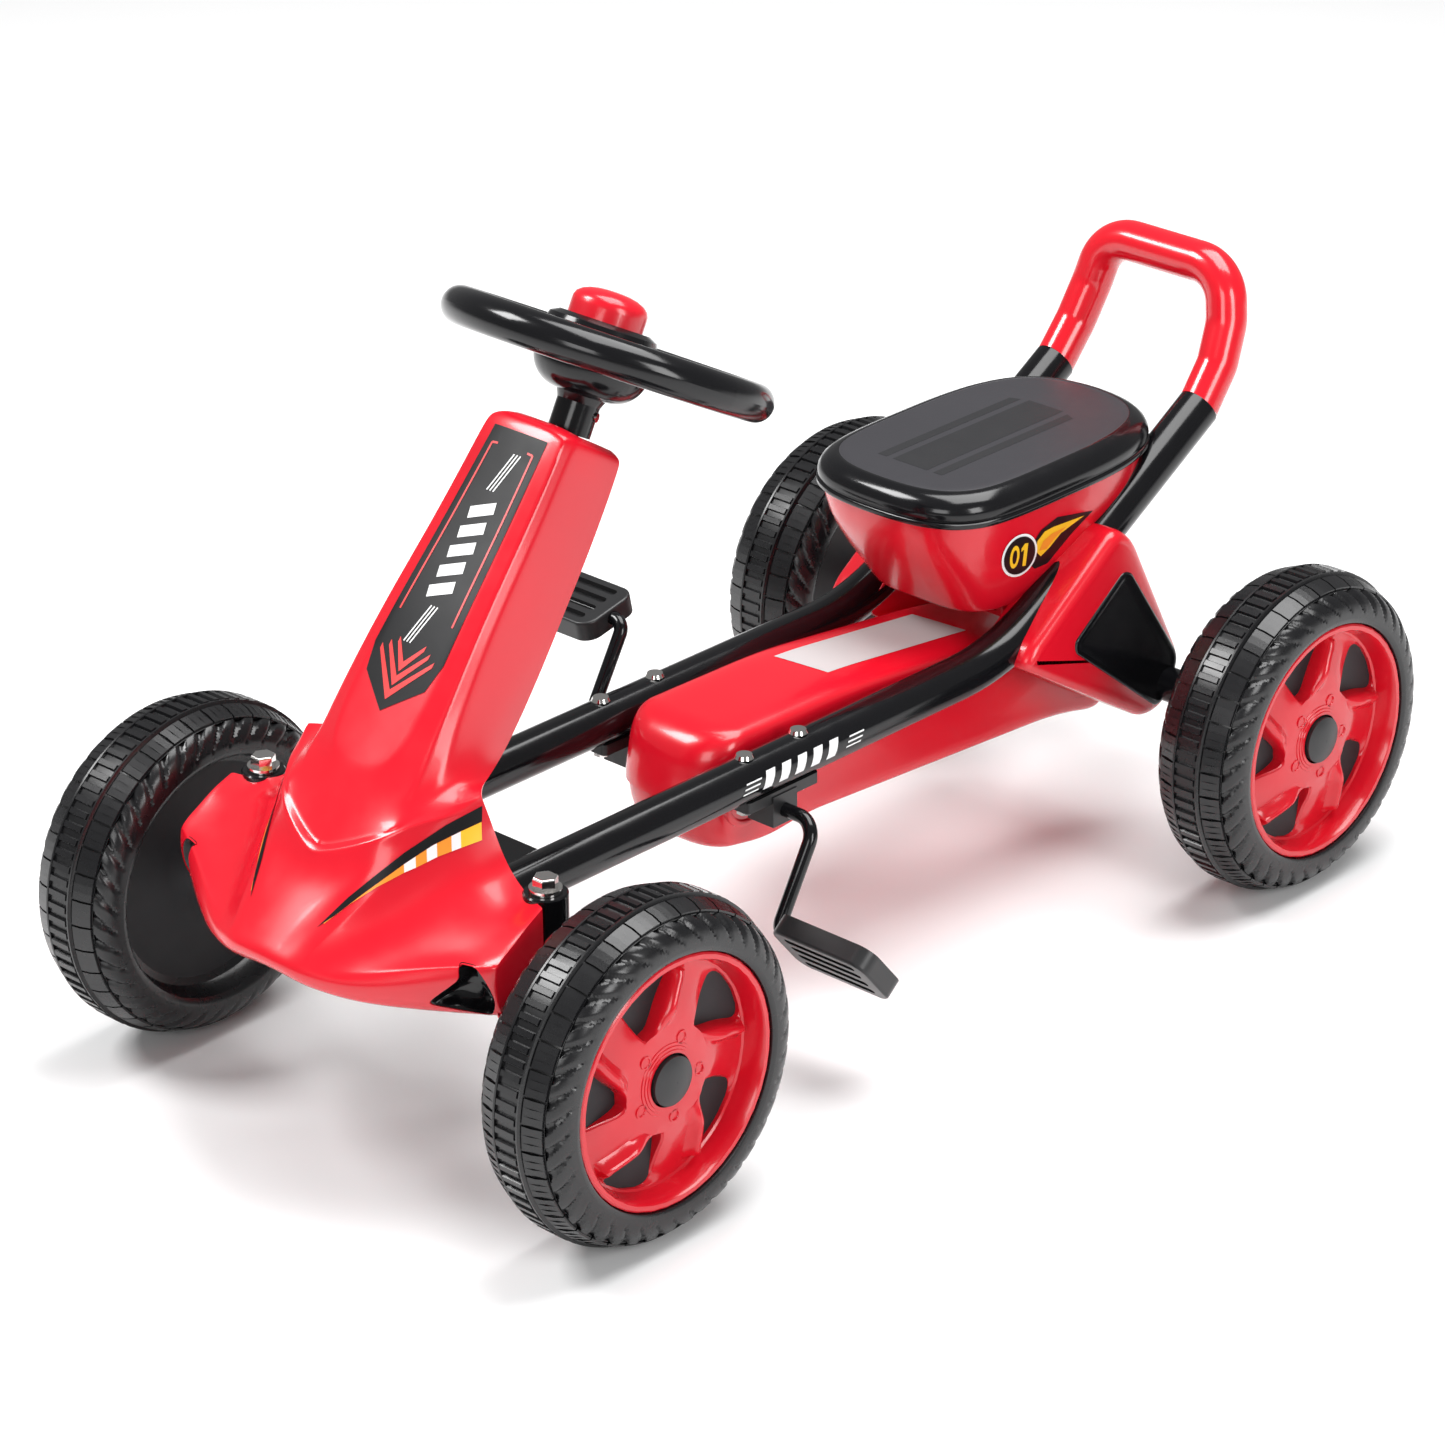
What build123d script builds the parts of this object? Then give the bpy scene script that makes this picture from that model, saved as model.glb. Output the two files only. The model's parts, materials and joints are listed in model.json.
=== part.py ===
from build123d import *
import math
import os

os.makedirs("parts", exist_ok=True)

# Pedal go kart. Millimetres, +Z up. The kart drives towards -Y and the driver's left is +X.
# The origin is on the ground, under the middle of the whole kart.

# ---- driving dimensions ----
WHEEL_R = 120.0
AXLE_Z = 120.0
FRONT_Y = -336.0
REAR_Y = 344.0
FRONT_TRACK_HALF = 213.0
REAR_TRACK_HALF = 208.7
TYRE_HALF = 36.9
RIM_R = 88.0
RIM_FACE = 35.2
SPINDLE_R = 6.0
RUN_FIT = 0.08

TUBE_X = 68.0
TUBE_R = 16.0
TUBE_WALL = 2.0
TUBE_Z = 184.0
TUBE_REAR = (406.8, 311.6)
TUBE_RISE = math.radians(30.4)
TUBE_BEND_R = 180.0

KINGPIN_X = 133.0
SLEEVE_R = 15.0
SLEEVE_Z = (150.0, 217.0)
KINGPIN_R = 7.0
STEER_ARM = 50.0
TIE_Z = 131.4
TIE_T = 4.0
TIE_PIN_R = 4.0

COLUMN_TILT = math.radians(28.0)
HUB = Vector(0, -148, 498)
COLUMN_DIR = Vector(0, math.sin(COLUMN_TILT), math.cos(COLUMN_TILT))
CRANK_DIR = Vector(0, math.cos(COLUMN_TILT), -math.sin(COLUMN_TILT))
COLUMN_R = 6.0
COLUMN_DEPTH = 374.3
WHEEL_RING_R = 101.8
WHEEL_RING_OFFSET = 12.7
WHEEL_GRIP_R = 13.1
HORN_R = 26.0

CRANK_Y = -52.5
CRANK_Z = 155.0
CRANK_ROD_R = 5.0
CRANK_ARM = 80.0
CRANK_ARM_X = 110.0
CRANK_LEAN = math.radians(30.0)
PEDAL_X = (121.0, 206.0)

CHAIN_PITCH = 6.35
RING_TEETH = 28
SPROCKET_TEETH = 16
CHAIN_X = 0.0

COVER_HALF = 45.0
COVER_WALL = 2.5
CHEEK_X = (52.0, 97.0)
SEAT_RIM_Z = 297.0
SEAT_LID_H = 24.0

SIDES = {"left": 1, "right": -1}


def save(builder, name):
    builder.part.label = name
    export_step(builder.part, f"parts/{name}.step")


# ---- planes ----
def axial_plane(x, y, side):
    """Holds the wheel's axis: local x runs outboard along the axle, local y is up."""
    return Plane(origin=(x, y, AXLE_Z), x_dir=(side, 0, 0), z_dir=(0, -side, 0))


def face_plane(x, y, side, out):
    """Faces outboard, `out` along the axle from the wheel's centre."""
    return Plane(origin=(x + side * out, y, AXLE_Z), x_dir=(0, side, 0), z_dir=(side, 0, 0))


def column_plane(s):
    """Square to the steering column, at `s` above the wheel's centre. Local y points at the driver."""
    return Plane(origin=HUB + COLUMN_DIR * s, x_dir=(1, 0, 0), z_dir=COLUMN_DIR)


COLUMN_SECTION = Plane(origin=HUB, x_dir=(1, 0, 0), z_dir=-CRANK_DIR)
COLUMN_AXIS = Axis(HUB, COLUMN_DIR)


def polar(radius, degrees):
    angle = math.radians(degrees)
    return radius * math.cos(angle), radius * math.sin(angle)


def dome_point(radius, base, top):
    """Middle point of the arc from (radius, base) over to (0, top), centred on the axis."""
    centre = (top**2 - base**2 - radius**2) / (2 * (top - base))
    half_angle = math.atan2(radius, base - centre) / 2
    sphere = top - centre
    return sphere * math.sin(half_angle), centre + sphere * math.cos(half_angle)


# ---- frame tubes ----
def tube_path_points():
    """Side view (y, z) of a side tube: level, then rising to the backrest."""
    corner_y = TUBE_REAR[0] - (TUBE_REAR[1] - TUBE_Z) / math.tan(TUBE_RISE)
    return [(FRONT_Y + 2, TUBE_Z), (corner_y, TUBE_Z), TUBE_REAR]


def tube_solid(side, radius, bore=0.0):
    with BuildPart() as tube:
        with BuildLine(Plane.YZ.offset(side * TUBE_X)) as path:
            FilletPolyline(*tube_path_points(), radius=TUBE_BEND_R)
        with BuildSketch(Plane(origin=path.line @ 0, z_dir=path.line % 0)):
            Circle(radius)
            if bore:
                Circle(bore, mode=Mode.SUBTRACT)
        sweep()
    return tube.part


TUBE_SCREW_Y = [CRANK_Y - 27.2, CRANK_Y + 27.2]
SPIGOT_R = 11.0
SPIGOT_LENGTH = 14.0
tube_end_dir = Vector(0, math.cos(TUBE_RISE), math.sin(TUBE_RISE))

for name, side in SIDES.items():
    with BuildPart() as side_tube:
        add(tube_solid(side, TUBE_R, TUBE_R - TUBE_WALL))
        end = Vector(side * TUBE_X, *TUBE_REAR)
        with BuildSketch(Plane(origin=end - tube_end_dir * 14, z_dir=tube_end_dir)):
            Circle(TUBE_R - TUBE_WALL)
            Circle(SPIGOT_R - TUBE_WALL, mode=Mode.SUBTRACT)
        extrude(amount=14)
        with BuildSketch(Plane(origin=end, z_dir=tube_end_dir)):
            Circle(SPIGOT_R)
            Circle(SPIGOT_R - TUBE_WALL, mode=Mode.SUBTRACT)
        extrude(amount=SPIGOT_LENGTH)
        with BuildSketch(Plane.XY.offset(TUBE_Z)):
            with Locations(*[(side * TUBE_X, y) for y in TUBE_SCREW_Y]):
                Circle(3.0)
        extrude(amount=TUBE_R + 2, both=True, mode=Mode.SUBTRACT)
    save(side_tube, f"side_tube_{name}")

# ---- front axle beam, kingpin sleeves and cross plate ----
BEAM_T = 12.0
BEAM_H = 34.0
BEAM_Y = FRONT_Y - 4.0

with BuildPart() as front_axle_beam:
    with BuildSketch(Plane.XZ.offset(-(BEAM_Y + BEAM_T / 2))):
        with Locations((0, TUBE_Z - 4)):
            Rectangle(2 * KINGPIN_X, BEAM_H)
    extrude(amount=BEAM_T)
    with BuildSketch(Plane.XY.offset(SLEEVE_Z[0])):
        with Locations((KINGPIN_X, FRONT_Y), (-KINGPIN_X, FRONT_Y)):
            Circle(SLEEVE_R)
    extrude(amount=80, mode=Mode.SUBTRACT)
save(front_axle_beam, "front_axle_beam")

for name, side in SIDES.items():
    with BuildPart() as kingpin_sleeve:
        with BuildSketch(Plane.XY.offset(SLEEVE_Z[0])):
            with Locations((side * KINGPIN_X, FRONT_Y)):
                Circle(SLEEVE_R)
                Circle(KINGPIN_R + RUN_FIT, mode=Mode.SUBTRACT)
        extrude(amount=SLEEVE_Z[1] - SLEEVE_Z[0])
        chamfer(kingpin_sleeve.edges().group_by(Axis.Z)[-1].filter_by(GeomType.CIRCLE).sort_by(SortBy.RADIUS)[-1], 1)
    save(kingpin_sleeve, f"kingpin_sleeve_{name}")

PLATE_Z = 189.0
PLATE_T = 3.0
plate_column = HUB - COLUMN_DIR * ((HUB.Z - PLATE_Z) / COLUMN_DIR.Z)

with BuildPart() as front_cross_plate:
    with BuildSketch(Plane.XY.offset(PLATE_Z)):
        with Locations((0, -297)):
            Rectangle(2 * TUBE_X, 70)
    extrude(amount=PLATE_T)
    add(tube_solid(1, TUBE_R), mode=Mode.SUBTRACT)
    add(tube_solid(-1, TUBE_R), mode=Mode.SUBTRACT)
    with BuildSketch(Plane(origin=plate_column, x_dir=(1, 0, 0), z_dir=COLUMN_DIR)):
        Circle(11)
    extrude(amount=20, both=True, mode=Mode.SUBTRACT)
front_cross_plate.part = Part() + front_cross_plate.part.solids().sort_by(SortBy.VOLUME)[-1]
save(front_cross_plate, "front_cross_plate")

with BuildPart() as lower_column_bush:
    with BuildSketch(Plane(origin=plate_column, x_dir=(1, 0, 0), z_dir=COLUMN_DIR).offset(-6)):
        Circle(11)
        Circle(COLUMN_R + RUN_FIT, mode=Mode.SUBTRACT)
    extrude(amount=18)
    with BuildSketch(Plane(origin=plate_column, x_dir=(1, 0, 0), z_dir=COLUMN_DIR).offset(12)):
        Circle(15)
        Circle(COLUMN_R + RUN_FIT, mode=Mode.SUBTRACT)
    extrude(amount=4)
save(lower_column_bush, "lower_column_bush")

# ---- steering knuckles with their stub axles ----
KNUCKLE_Z = (108.0, SLEEVE_Z[0] - 0.4)
HUB_INNER = -34.0
STUB_END = 26.0

for name, side in SIDES.items():
    pin_x = side * KINGPIN_X
    with BuildPart() as knuckle:
        with BuildSketch(Plane.XY.offset(KNUCKLE_Z[0])):
            with Locations((pin_x, FRONT_Y)):
                Circle(SLEEVE_R)
        extrude(amount=KNUCKLE_Z[1] - KNUCKLE_Z[0])
        with BuildSketch(Plane.XY.offset(TIE_Z - 6.4)):
            with Locations((pin_x, FRONT_Y + STEER_ARM / 2)):
                Rectangle(16, STEER_ARM)
            with Locations((pin_x, FRONT_Y + STEER_ARM)):
                Circle(8)
        extrude(amount=6)
        with BuildSketch(Plane.XY.offset(TIE_Z - 0.4)):
            with Locations((pin_x, FRONT_Y + STEER_ARM)):
                Circle(TIE_PIN_R)
        extrude(amount=TIE_T + 0.8)
        with BuildSketch(Plane.XY.offset(TIE_Z + TIE_T + 0.4)):
            with Locations((pin_x, FRONT_Y + STEER_ARM)):
                Circle(6.5)
        extrude(amount=2.2)
        wheel_x = side * FRONT_TRACK_HALF
        inner = FRONT_TRACK_HALF + HUB_INNER - 0.4
        with BuildSketch(Plane.YZ.offset(pin_x)):
            with Locations((FRONT_Y, AXLE_Z)):
                Circle(10)
        extrude(amount=side * (inner - KINGPIN_X))
        with BuildSketch(Plane.YZ.offset(pin_x)):
            with Locations((FRONT_Y, AXLE_Z)):
                Circle(SPINDLE_R)
        extrude(amount=side * (FRONT_TRACK_HALF + STUB_END - KINGPIN_X))
        with BuildSketch(face_plane(wheel_x, FRONT_Y, side, 20.4)):
            RegularPolygon(10, 6)
        extrude(amount=6)
        with BuildSketch(Plane.XY.offset(112)):
            with Locations((pin_x, FRONT_Y)):
                Circle(KINGPIN_R)
        extrude(amount=60, mode=Mode.SUBTRACT)
    save(knuckle, f"knuckle_{name}")

    with BuildPart() as kingpin:
        with BuildSketch(Plane.XY.offset(112)):
            with Locations((pin_x, FRONT_Y)):
                Circle(KINGPIN_R)
        extrude(amount=SLEEVE_Z[1] + 0.3 - 112)
        with BuildSketch(Plane.XY.offset(SLEEVE_Z[1] + 0.3)):
            with Locations((pin_x, FRONT_Y)):
                Circle(11)
        extrude(amount=3)
        with BuildSketch(Plane.XY.offset(SLEEVE_Z[1] + 3.3)):
            with Locations((pin_x, FRONT_Y)):
                RegularPolygon(8.6, 6)
        extrude(amount=7.5)
        fillet(kingpin.edges().group_by(Axis.Z)[-1], 1.5)
    save(kingpin, f"kingpin_{name}")

# ---- tie bar: pinned on the left arm, free on the right pin, slotted for the column's crank ----
with BuildPart() as tie_bar:
    with BuildSketch(Plane.XY.offset(TIE_Z)):
        with Locations((0, FRONT_Y + STEER_ARM)):
            SlotCenterToCenter(2 * KINGPIN_X, 16)
            RectangleRounded(44, 30, 6)
        with Locations((KINGPIN_X, FRONT_Y + STEER_ARM)):
            Circle(TIE_PIN_R + RUN_FIT, mode=Mode.SUBTRACT)
        with Locations((-KINGPIN_X, FRONT_Y + STEER_ARM)):
            Circle(TIE_PIN_R + 0.4, mode=Mode.SUBTRACT)
        with Locations((0, FRONT_Y + STEER_ARM)):
            RectangleRounded(9.2, 19, 4, mode=Mode.SUBTRACT)
    extrude(amount=TIE_T)
save(tie_bar, "tie_bar")

# ---- steering column: straight rod, cranked at the foot ----
FOOT_DROP = 19.0
CRANK_PIN_R = 4.0
foot = HUB - COLUMN_DIR * COLUMN_DEPTH
crank_tip = foot + CRANK_DIR * STEER_ARM

with BuildPart() as steering_column:
    with BuildSketch(column_plane(0)):
        Circle(COLUMN_R)
    extrude(amount=-(COLUMN_DEPTH - 12))
    with BuildLine() as foot_path:
        FilletPolyline(foot + COLUMN_DIR * 12, foot, foot + CRANK_DIR * 36, radius=9)
    with BuildSketch(Plane(origin=foot_path.line @ 0, z_dir=foot_path.line % 0)):
        Circle(COLUMN_R)
    sweep(path=foot_path.line)
    with BuildSketch(Plane(origin=foot + CRANK_DIR * 36, z_dir=CRANK_DIR)):
        Circle(COLUMN_R)
    extrude(amount=STEER_ARM - 36)
    with BuildSketch(Plane(origin=crank_tip, z_dir=COLUMN_DIR).offset(COLUMN_R)):
        Circle(COLUMN_R)
    extrude(amount=-2 * COLUMN_R)
    with BuildSketch(Plane(origin=crank_tip, z_dir=COLUMN_DIR)):
        Circle(CRANK_PIN_R)
    extrude(amount=-FOOT_DROP)
save(steering_column, "steering_column")

# ---- steering wheel: two shells that close on the rim's middle plane ----
SPOKE_W = 46.0
HUB_DISC_R = 37.0
HUB_TOP = 19.0
HUB_NECK_R = 33.0
SLEEVE_FOOT = -57.0
ring_centre = HUB + CRANK_DIR * WHEEL_RING_OFFSET


def ring_half(upper):
    """Half of the grip ring, above or below its middle plane."""
    section = Plane(origin=ring_centre, x_dir=(1, 0, 0), z_dir=-CRANK_DIR)
    with BuildPart() as ring:
        with BuildSketch(section):
            with Locations((WHEEL_RING_R, 0)):
                Circle(WHEEL_GRIP_R)
            with Locations((WHEEL_RING_R, -WHEEL_GRIP_R if upper else WHEEL_GRIP_R)):
                Rectangle(4 * WHEEL_GRIP_R, 2 * WHEEL_GRIP_R, mode=Mode.SUBTRACT)
        revolve(axis=Axis(ring_centre, COLUMN_DIR))
    return ring.part


def outside_ring(plane):
    with BuildPart() as block:
        with BuildSketch(plane):
            Circle(200)
            with Locations((0, WHEEL_RING_OFFSET)):
                Circle(WHEEL_RING_R, mode=Mode.SUBTRACT)
        extrude(amount=40, both=True)
    return block.part


with BuildPart() as wheel_shell_upper:
    with BuildSketch(column_plane(0)):
        with Locations((0, 6)):
            RectangleRounded(2 * WHEEL_RING_R + 8, SPOKE_W, 8)
        with Locations((0, WHEEL_RING_R / 2 + 6)):
            Rectangle(30, WHEEL_RING_R)
    extrude(amount=7)
    add(outside_ring(column_plane(0)), mode=Mode.SUBTRACT)
    add(ring_half(True))
    with BuildSketch(COLUMN_SECTION):
        Polygon(
            (0, 0), (HUB_NECK_R, 0), (HUB_NECK_R, HUB_TOP - 7), (HUB_DISC_R + 1, HUB_TOP - 6),
            (HUB_DISC_R, HUB_TOP - 3), (HUB_DISC_R - 6, HUB_TOP), (0, HUB_TOP), align=None,
        )
    revolve(axis=COLUMN_AXIS)
    with BuildSketch(column_plane(HUB_TOP)):
        Circle(HORN_R + 0.5)
    extrude(amount=-10, mode=Mode.SUBTRACT)
    with BuildSketch(column_plane(HUB_TOP - 10)):
        Circle(8 + RUN_FIT)
    extrude(amount=-9, mode=Mode.SUBTRACT)
save(wheel_shell_upper, "wheel_shell_upper")

with BuildPart() as wheel_shell_lower:
    with BuildSketch(column_plane(0)):
        with Locations((0, 6)):
            RectangleRounded(2 * WHEEL_RING_R + 8, SPOKE_W, 8)
        with Locations((0, WHEEL_RING_R / 2 + 6)):
            Rectangle(30, WHEEL_RING_R)
    extrude(amount=-7)
    add(outside_ring(column_plane(0)), mode=Mode.SUBTRACT)
    add(ring_half(False))
    with BuildSketch(COLUMN_SECTION):
        with BuildLine():
            Polyline((0, 0), (39, 0), (39, -12))
            ThreePointArc((39, -12), (33, -24), (17, -31))
            Line((17, -31), (14.8, -36))
            Polyline((14.8, -36), (14.8, SLEEVE_FOOT), (0, SLEEVE_FOOT), (0, 0))
        make_face()
    revolve(axis=COLUMN_AXIS)
    with BuildSketch(column_plane(0)):
        Circle(COLUMN_R)
    extrude(amount=SLEEVE_FOOT, mode=Mode.SUBTRACT)
save(wheel_shell_lower, "wheel_shell_lower")

screw_dir = Vector(math.cos(math.radians(20)), 0, 0) + CRANK_DIR * math.sin(math.radians(20))
with BuildPart() as sleeve_screw:
    with BuildSketch(Plane(origin=HUB - COLUMN_DIR * 42 + screw_dir * 14.9, z_dir=screw_dir)):
        Circle(3.2)
    extrude(amount=1.2)
save(sleeve_screw, "sleeve_screw")

HORN_RIM = HUB_TOP + 12
HORN_TOP = HUB_TOP + 21

with BuildPart() as horn_button:
    with BuildSketch(COLUMN_SECTION):
        with BuildLine():
            Polyline((0, HUB_TOP - 6), (HORN_R, HUB_TOP - 6), (HORN_R, HORN_RIM))
            ThreePointArc((HORN_R, HORN_RIM), dome_point(HORN_R, HORN_RIM, HORN_TOP), (0, HORN_TOP))
            Line((0, HORN_TOP), (0, HUB_TOP - 6))
        make_face()
    revolve(axis=COLUMN_AXIS)
    with BuildSketch(column_plane(HUB_TOP - 6)):
        Circle(8)
    extrude(amount=-8)
save(horn_button, "horn_button")

# ---- wheels ----
WEB = (-3.0, 3.0)


def make_wheel(prefix, x, y, side, bore):
    axis = Axis((x, y, AXLE_Z), (1, 0, 0))
    with BuildPart() as tyre:
        with BuildSketch(axial_plane(x, y, side)):
            with BuildLine():
                Polyline(
                    (HUB_INNER, bore), (HUB_INNER, 16), (-16, 18), (WEB[0], 30), (WEB[0], 76),
                    (-20, 84), (-TYRE_HALF + 2, 86), (-TYRE_HALF, 90), (-TYRE_HALF + 1, 100),
                    (-25.8, 112.5), (-11, 116.5), (-10, WHEEL_R), (10, WHEEL_R), (11, 116.5),
                    (25.8, 112.5), (TYRE_HALF - 1, 100), (TYRE_HALF, 90), (TYRE_HALF - 1, RIM_R + 0.2),
                    (WEB[1], RIM_R + 0.2), (WEB[1], bore), (HUB_INNER, bore),
                )
            make_face()
        revolve(axis=axis)
    save(tyre, f"{prefix}_tyre")

    with BuildPart() as rim:
        with BuildSketch(axial_plane(x, y, side)):
            with BuildLine():
                Polyline(
                    (WEB[1], bore), (20, bore), (20, 13), (27, 13), (27, 18.5), (29, 20), (24, 30),
                    (17, 70), (20, 76), (30, 80), (RIM_FACE, 82), (RIM_FACE, 86), (33, RIM_R),
                    (WEB[1], RIM_R), (WEB[1], RIM_R - 6), (11, 72), (17, 30), (12, 22), (WEB[1], 22),
                    (WEB[1], bore),
                )
            make_face()
        revolve(axis=axis)
        for k in range(5):
            turn = 72 * k
            with BuildSketch(face_plane(x, y, side, WEB[1])) as window:
                with BuildLine():
                    ThreePointArc(polar(33, turn - 12), polar(32, turn + 2), polar(34, turn + 16))
                    Line(polar(34, turn + 16), polar(70, turn + 40))
                    ThreePointArc(polar(70, turn + 40), polar(73, turn + 22), polar(70, turn + 2))
                    Line(polar(70, turn + 2), polar(33, turn - 12))
                make_face()
                fillet(window.vertices(), 5)
            extrude(amount=40, mode=Mode.SUBTRACT)
    save(rim, f"{prefix}_rim")

    with BuildPart() as cap:
        with BuildSketch(axial_plane(x, y, side)):
            with BuildLine():
                Polyline((27, 13.2), (27, 17), (32, 17))
                ThreePointArc((32, 17), dome_point(17, 32, 34.8)[::-1], (34.8, 0))
                Polyline((34.8, 0), (31, 0), (31, 13.2), (27, 13.2))
            make_face()
        revolve(axis=axis)
    save(cap, f"{prefix}_cap")


make_wheel("front_left", FRONT_TRACK_HALF, FRONT_Y, 1, SPINDLE_R + RUN_FIT)
make_wheel("front_right", -FRONT_TRACK_HALF, FRONT_Y, -1, SPINDLE_R + RUN_FIT)
make_wheel("rear_left", REAR_TRACK_HALF, REAR_Y, 1, SPINDLE_R)
make_wheel("rear_right", -REAR_TRACK_HALF, REAR_Y, -1, SPINDLE_R + RUN_FIT)

# ---- front cowl: nose with two wings, and a tapered shroud over the column ----
COWL_WALL = 3.0


def nose_section(y, wall, half_w, top_mid, shoulder, tip_top, tip_low, lip, sink=0.0):
    """Closed outline of the nose at one y, as (x, z), drawn in by `wall`."""
    right = [
        (0, top_mid - wall),
        (shoulder[0] - wall, shoulder[1] - wall),
        (half_w - wall, tip_top - wall * 1.2),
        (half_w - wall, tip_low),
        (lip[0] - wall, lip[1] - sink),
    ]
    left = [(-px, pz) for px, pz in reversed(right[1:])]
    with BuildSketch(Plane.XZ.offset(-y)) as section:
        Polygon(*right, *left, align=None)
    return section.sketch


def nose_solid(wall, sink):
    rear = -349.0 + (wall * 3 if wall else 0)
    sections = [
        nose_section(rear, wall, 146, 272, (84, 262), 215, 180, (130, 143), sink),
        nose_section(-392, wall, 146, 250, (66, 236), 193, 172, (122, 140), sink),
        nose_section(-428, wall, 112, 224, (50, 207), 180, 162, (88, 146), sink),
        nose_section(-454 + wall, wall, 70, 190, (38, 182), 170, 160, (55, 150), sink),
        nose_section(-466 + wall * 1.5, wall, 40, 172, (26, 170), 167, 162, (30, 157), sink),
    ]
    with BuildPart() as nose:
        loft(sections=[s.face() for s in sections], ruled=True)
    return nose.part


def shroud_section(front, rear, half_front, half_rear, wall):
    """Four-cornered section between a front (y, z) and a rear (y, z)."""
    points = [
        Vector(-half_front + wall, front[0], front[1]), Vector(half_front - wall, front[0], front[1]),
        Vector(half_rear - wall, rear[0], rear[1]), Vector(-half_rear + wall, rear[0], rear[1]),
    ]
    with BuildLine() as outline:
        Polyline(*points, close=True)
    return Face(Wire(outline.edges()))


def shroud_solid(wall):
    back = 30.0 if wall else 0.0
    sections = [
        shroud_section((-212 + wall * 1.4, 466 - wall * 1.2), (-162.6 + back, 434 - wall * 1.2), 34, 36, wall),
        shroud_section((-327 + wall * 1.4, 333), (-236 + back, 340), 44, 47, wall),
        shroud_section((-385 + wall * 1.4, 268), (-297 + back, 264), 60, 55, wall),
        shroud_section((-400 + wall * 1.4, 205), (-345 + back, 205), 62, 58, wall),
    ]
    with BuildPart() as shroud:
        loft(sections=sections, ruled=True)
    return shroud.part


VENT_POINTS = [(93, 168), (131, 180), (141, 158), (136, 150), (90, 146)]

with BuildPart() as front_cowl:
    add(nose_solid(0, 0))
    add(shroud_solid(0))
    add(nose_solid(COWL_WALL, 30), mode=Mode.SUBTRACT)
    add(shroud_solid(COWL_WALL), mode=Mode.SUBTRACT)
    with BuildSketch(column_plane(-80)):
        Circle(9.5)
    extrude(amount=60, mode=Mode.SUBTRACT)
    for side in SIDES.values():
        with BuildSketch(Plane.XY.offset(100)):
            with Locations((side * KINGPIN_X, FRONT_Y)):
                Circle(SLEEVE_R + 1)
        extrude(amount=140, mode=Mode.SUBTRACT)
    add(tube_solid(1, TUBE_R + 0.6), mode=Mode.SUBTRACT)
    add(tube_solid(-1, TUBE_R + 0.6), mode=Mode.SUBTRACT)
cowl_shell = front_cowl.part


def vent_prism(side):
    with BuildPart() as prism:
        with BuildSketch(Plane.XZ.offset(375)) as outline:
            Polygon(*[(side * px, pz) for px, pz in VENT_POINTS], align=None)
            fillet(outline.vertices(), 3)
        extrude(amount=90)
    return prism.part


with BuildPart() as open_cowl:
    add(cowl_shell)
    for side in SIDES.values():
        add(vent_prism(side), mode=Mode.SUBTRACT)
open_cowl.part = Part() + open_cowl.part.solids().sort_by(SortBy.VOLUME)[-1]
save(open_cowl, "front_cowl")

for name, side in SIDES.items():
    with BuildPart() as vent_insert:
        add(cowl_shell)
        add(vent_prism(side), mode=Mode.INTERSECT)
    vent_insert.part = Part() + vent_insert.part.solids().sort_by(SortBy.VOLUME)[-1]
    save(vent_insert, f"vent_insert_{name}")

with BuildPart() as column_bush:
    with BuildSketch(column_plane(-74)):
        Circle(9.5)
        Circle(COLUMN_R + RUN_FIT, mode=Mode.SUBTRACT)
    extrude(amount=14)
save(column_bush, "column_bush")

# ---- backrest hoop ----
HOOP_R = 15.4
HOOP_POINTS = [
    Vector(TUBE_X, *TUBE_REAR), Vector(67, 429, 338), Vector(63.5, 443, 366), Vector(55, 451, 403),
]
hoop_route = HOOP_POINTS + [Vector(-p.X, p.Y, p.Z) for p in reversed(HOOP_POINTS)]

with BuildPart() as backrest_hoop:
    with BuildLine() as hoop_path:
        FilletPolyline(*hoop_route, radius=[30, 40, 30, 30, 40, 30])
    with BuildSketch(Plane(origin=hoop_path.line @ 0, z_dir=hoop_path.line % 0)):
        Circle(HOOP_R)
    sweep(path=hoop_path.line)
    for side in SIDES.values():
        end = Vector(side * TUBE_X, *TUBE_REAR)
        with BuildSketch(Plane(origin=end, z_dir=tube_end_dir)):
            Circle(SPIGOT_R)
        extrude(amount=SPIGOT_LENGTH, mode=Mode.SUBTRACT)
        with BuildSketch(Plane(origin=end, z_dir=tube_end_dir)):
            Circle(TUBE_R + 6)
        extrude(amount=-30, mode=Mode.SUBTRACT)
save(backrest_hoop, "backrest_hoop")

# ---- seat ----
SEAT_FRONT = 124.0
SEAT_REAR = 382.0
SEAT_HALF = 84.0


def seat_outline(plane, inset, front_shift=0.0):
    """The seat's plan: bowed front, straight sides, and a back that narrows between the tubes."""
    front = SEAT_FRONT + inset + front_shift
    rear = SEAT_REAR - inset
    half = SEAT_HALF - inset
    with BuildSketch(plane) as outline:
        with BuildLine():
            ThreePointArc((-half + 14, front + 14), (0, front), (half - 14, front + 14))
            ThreePointArc((half - 14, front + 14), (half - 5, front + 24), (half, front + 50))
            Line((half, front + 50), (half, rear - 70))
            ThreePointArc((half, rear - 70), (half - 14, rear - 26), (half - 46, rear - 6))
            ThreePointArc((half - 46, rear - 6), (0, rear), (-half + 46, rear - 6))
            ThreePointArc((-half + 46, rear - 6), (-half + 14, rear - 26), (-half, rear - 70))
            Line((-half, rear - 70), (-half, front + 50))
            ThreePointArc((-half, front + 50), (-half + 5, front + 24), (-half + 14, front + 14))
        make_face()
    return outline.sketch


def cut_for_tubes(gap):
    with BuildPart() as tubes:
        add(tube_solid(1, TUBE_R + gap))
        add(tube_solid(-1, TUBE_R + gap))
    return tubes.part


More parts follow.
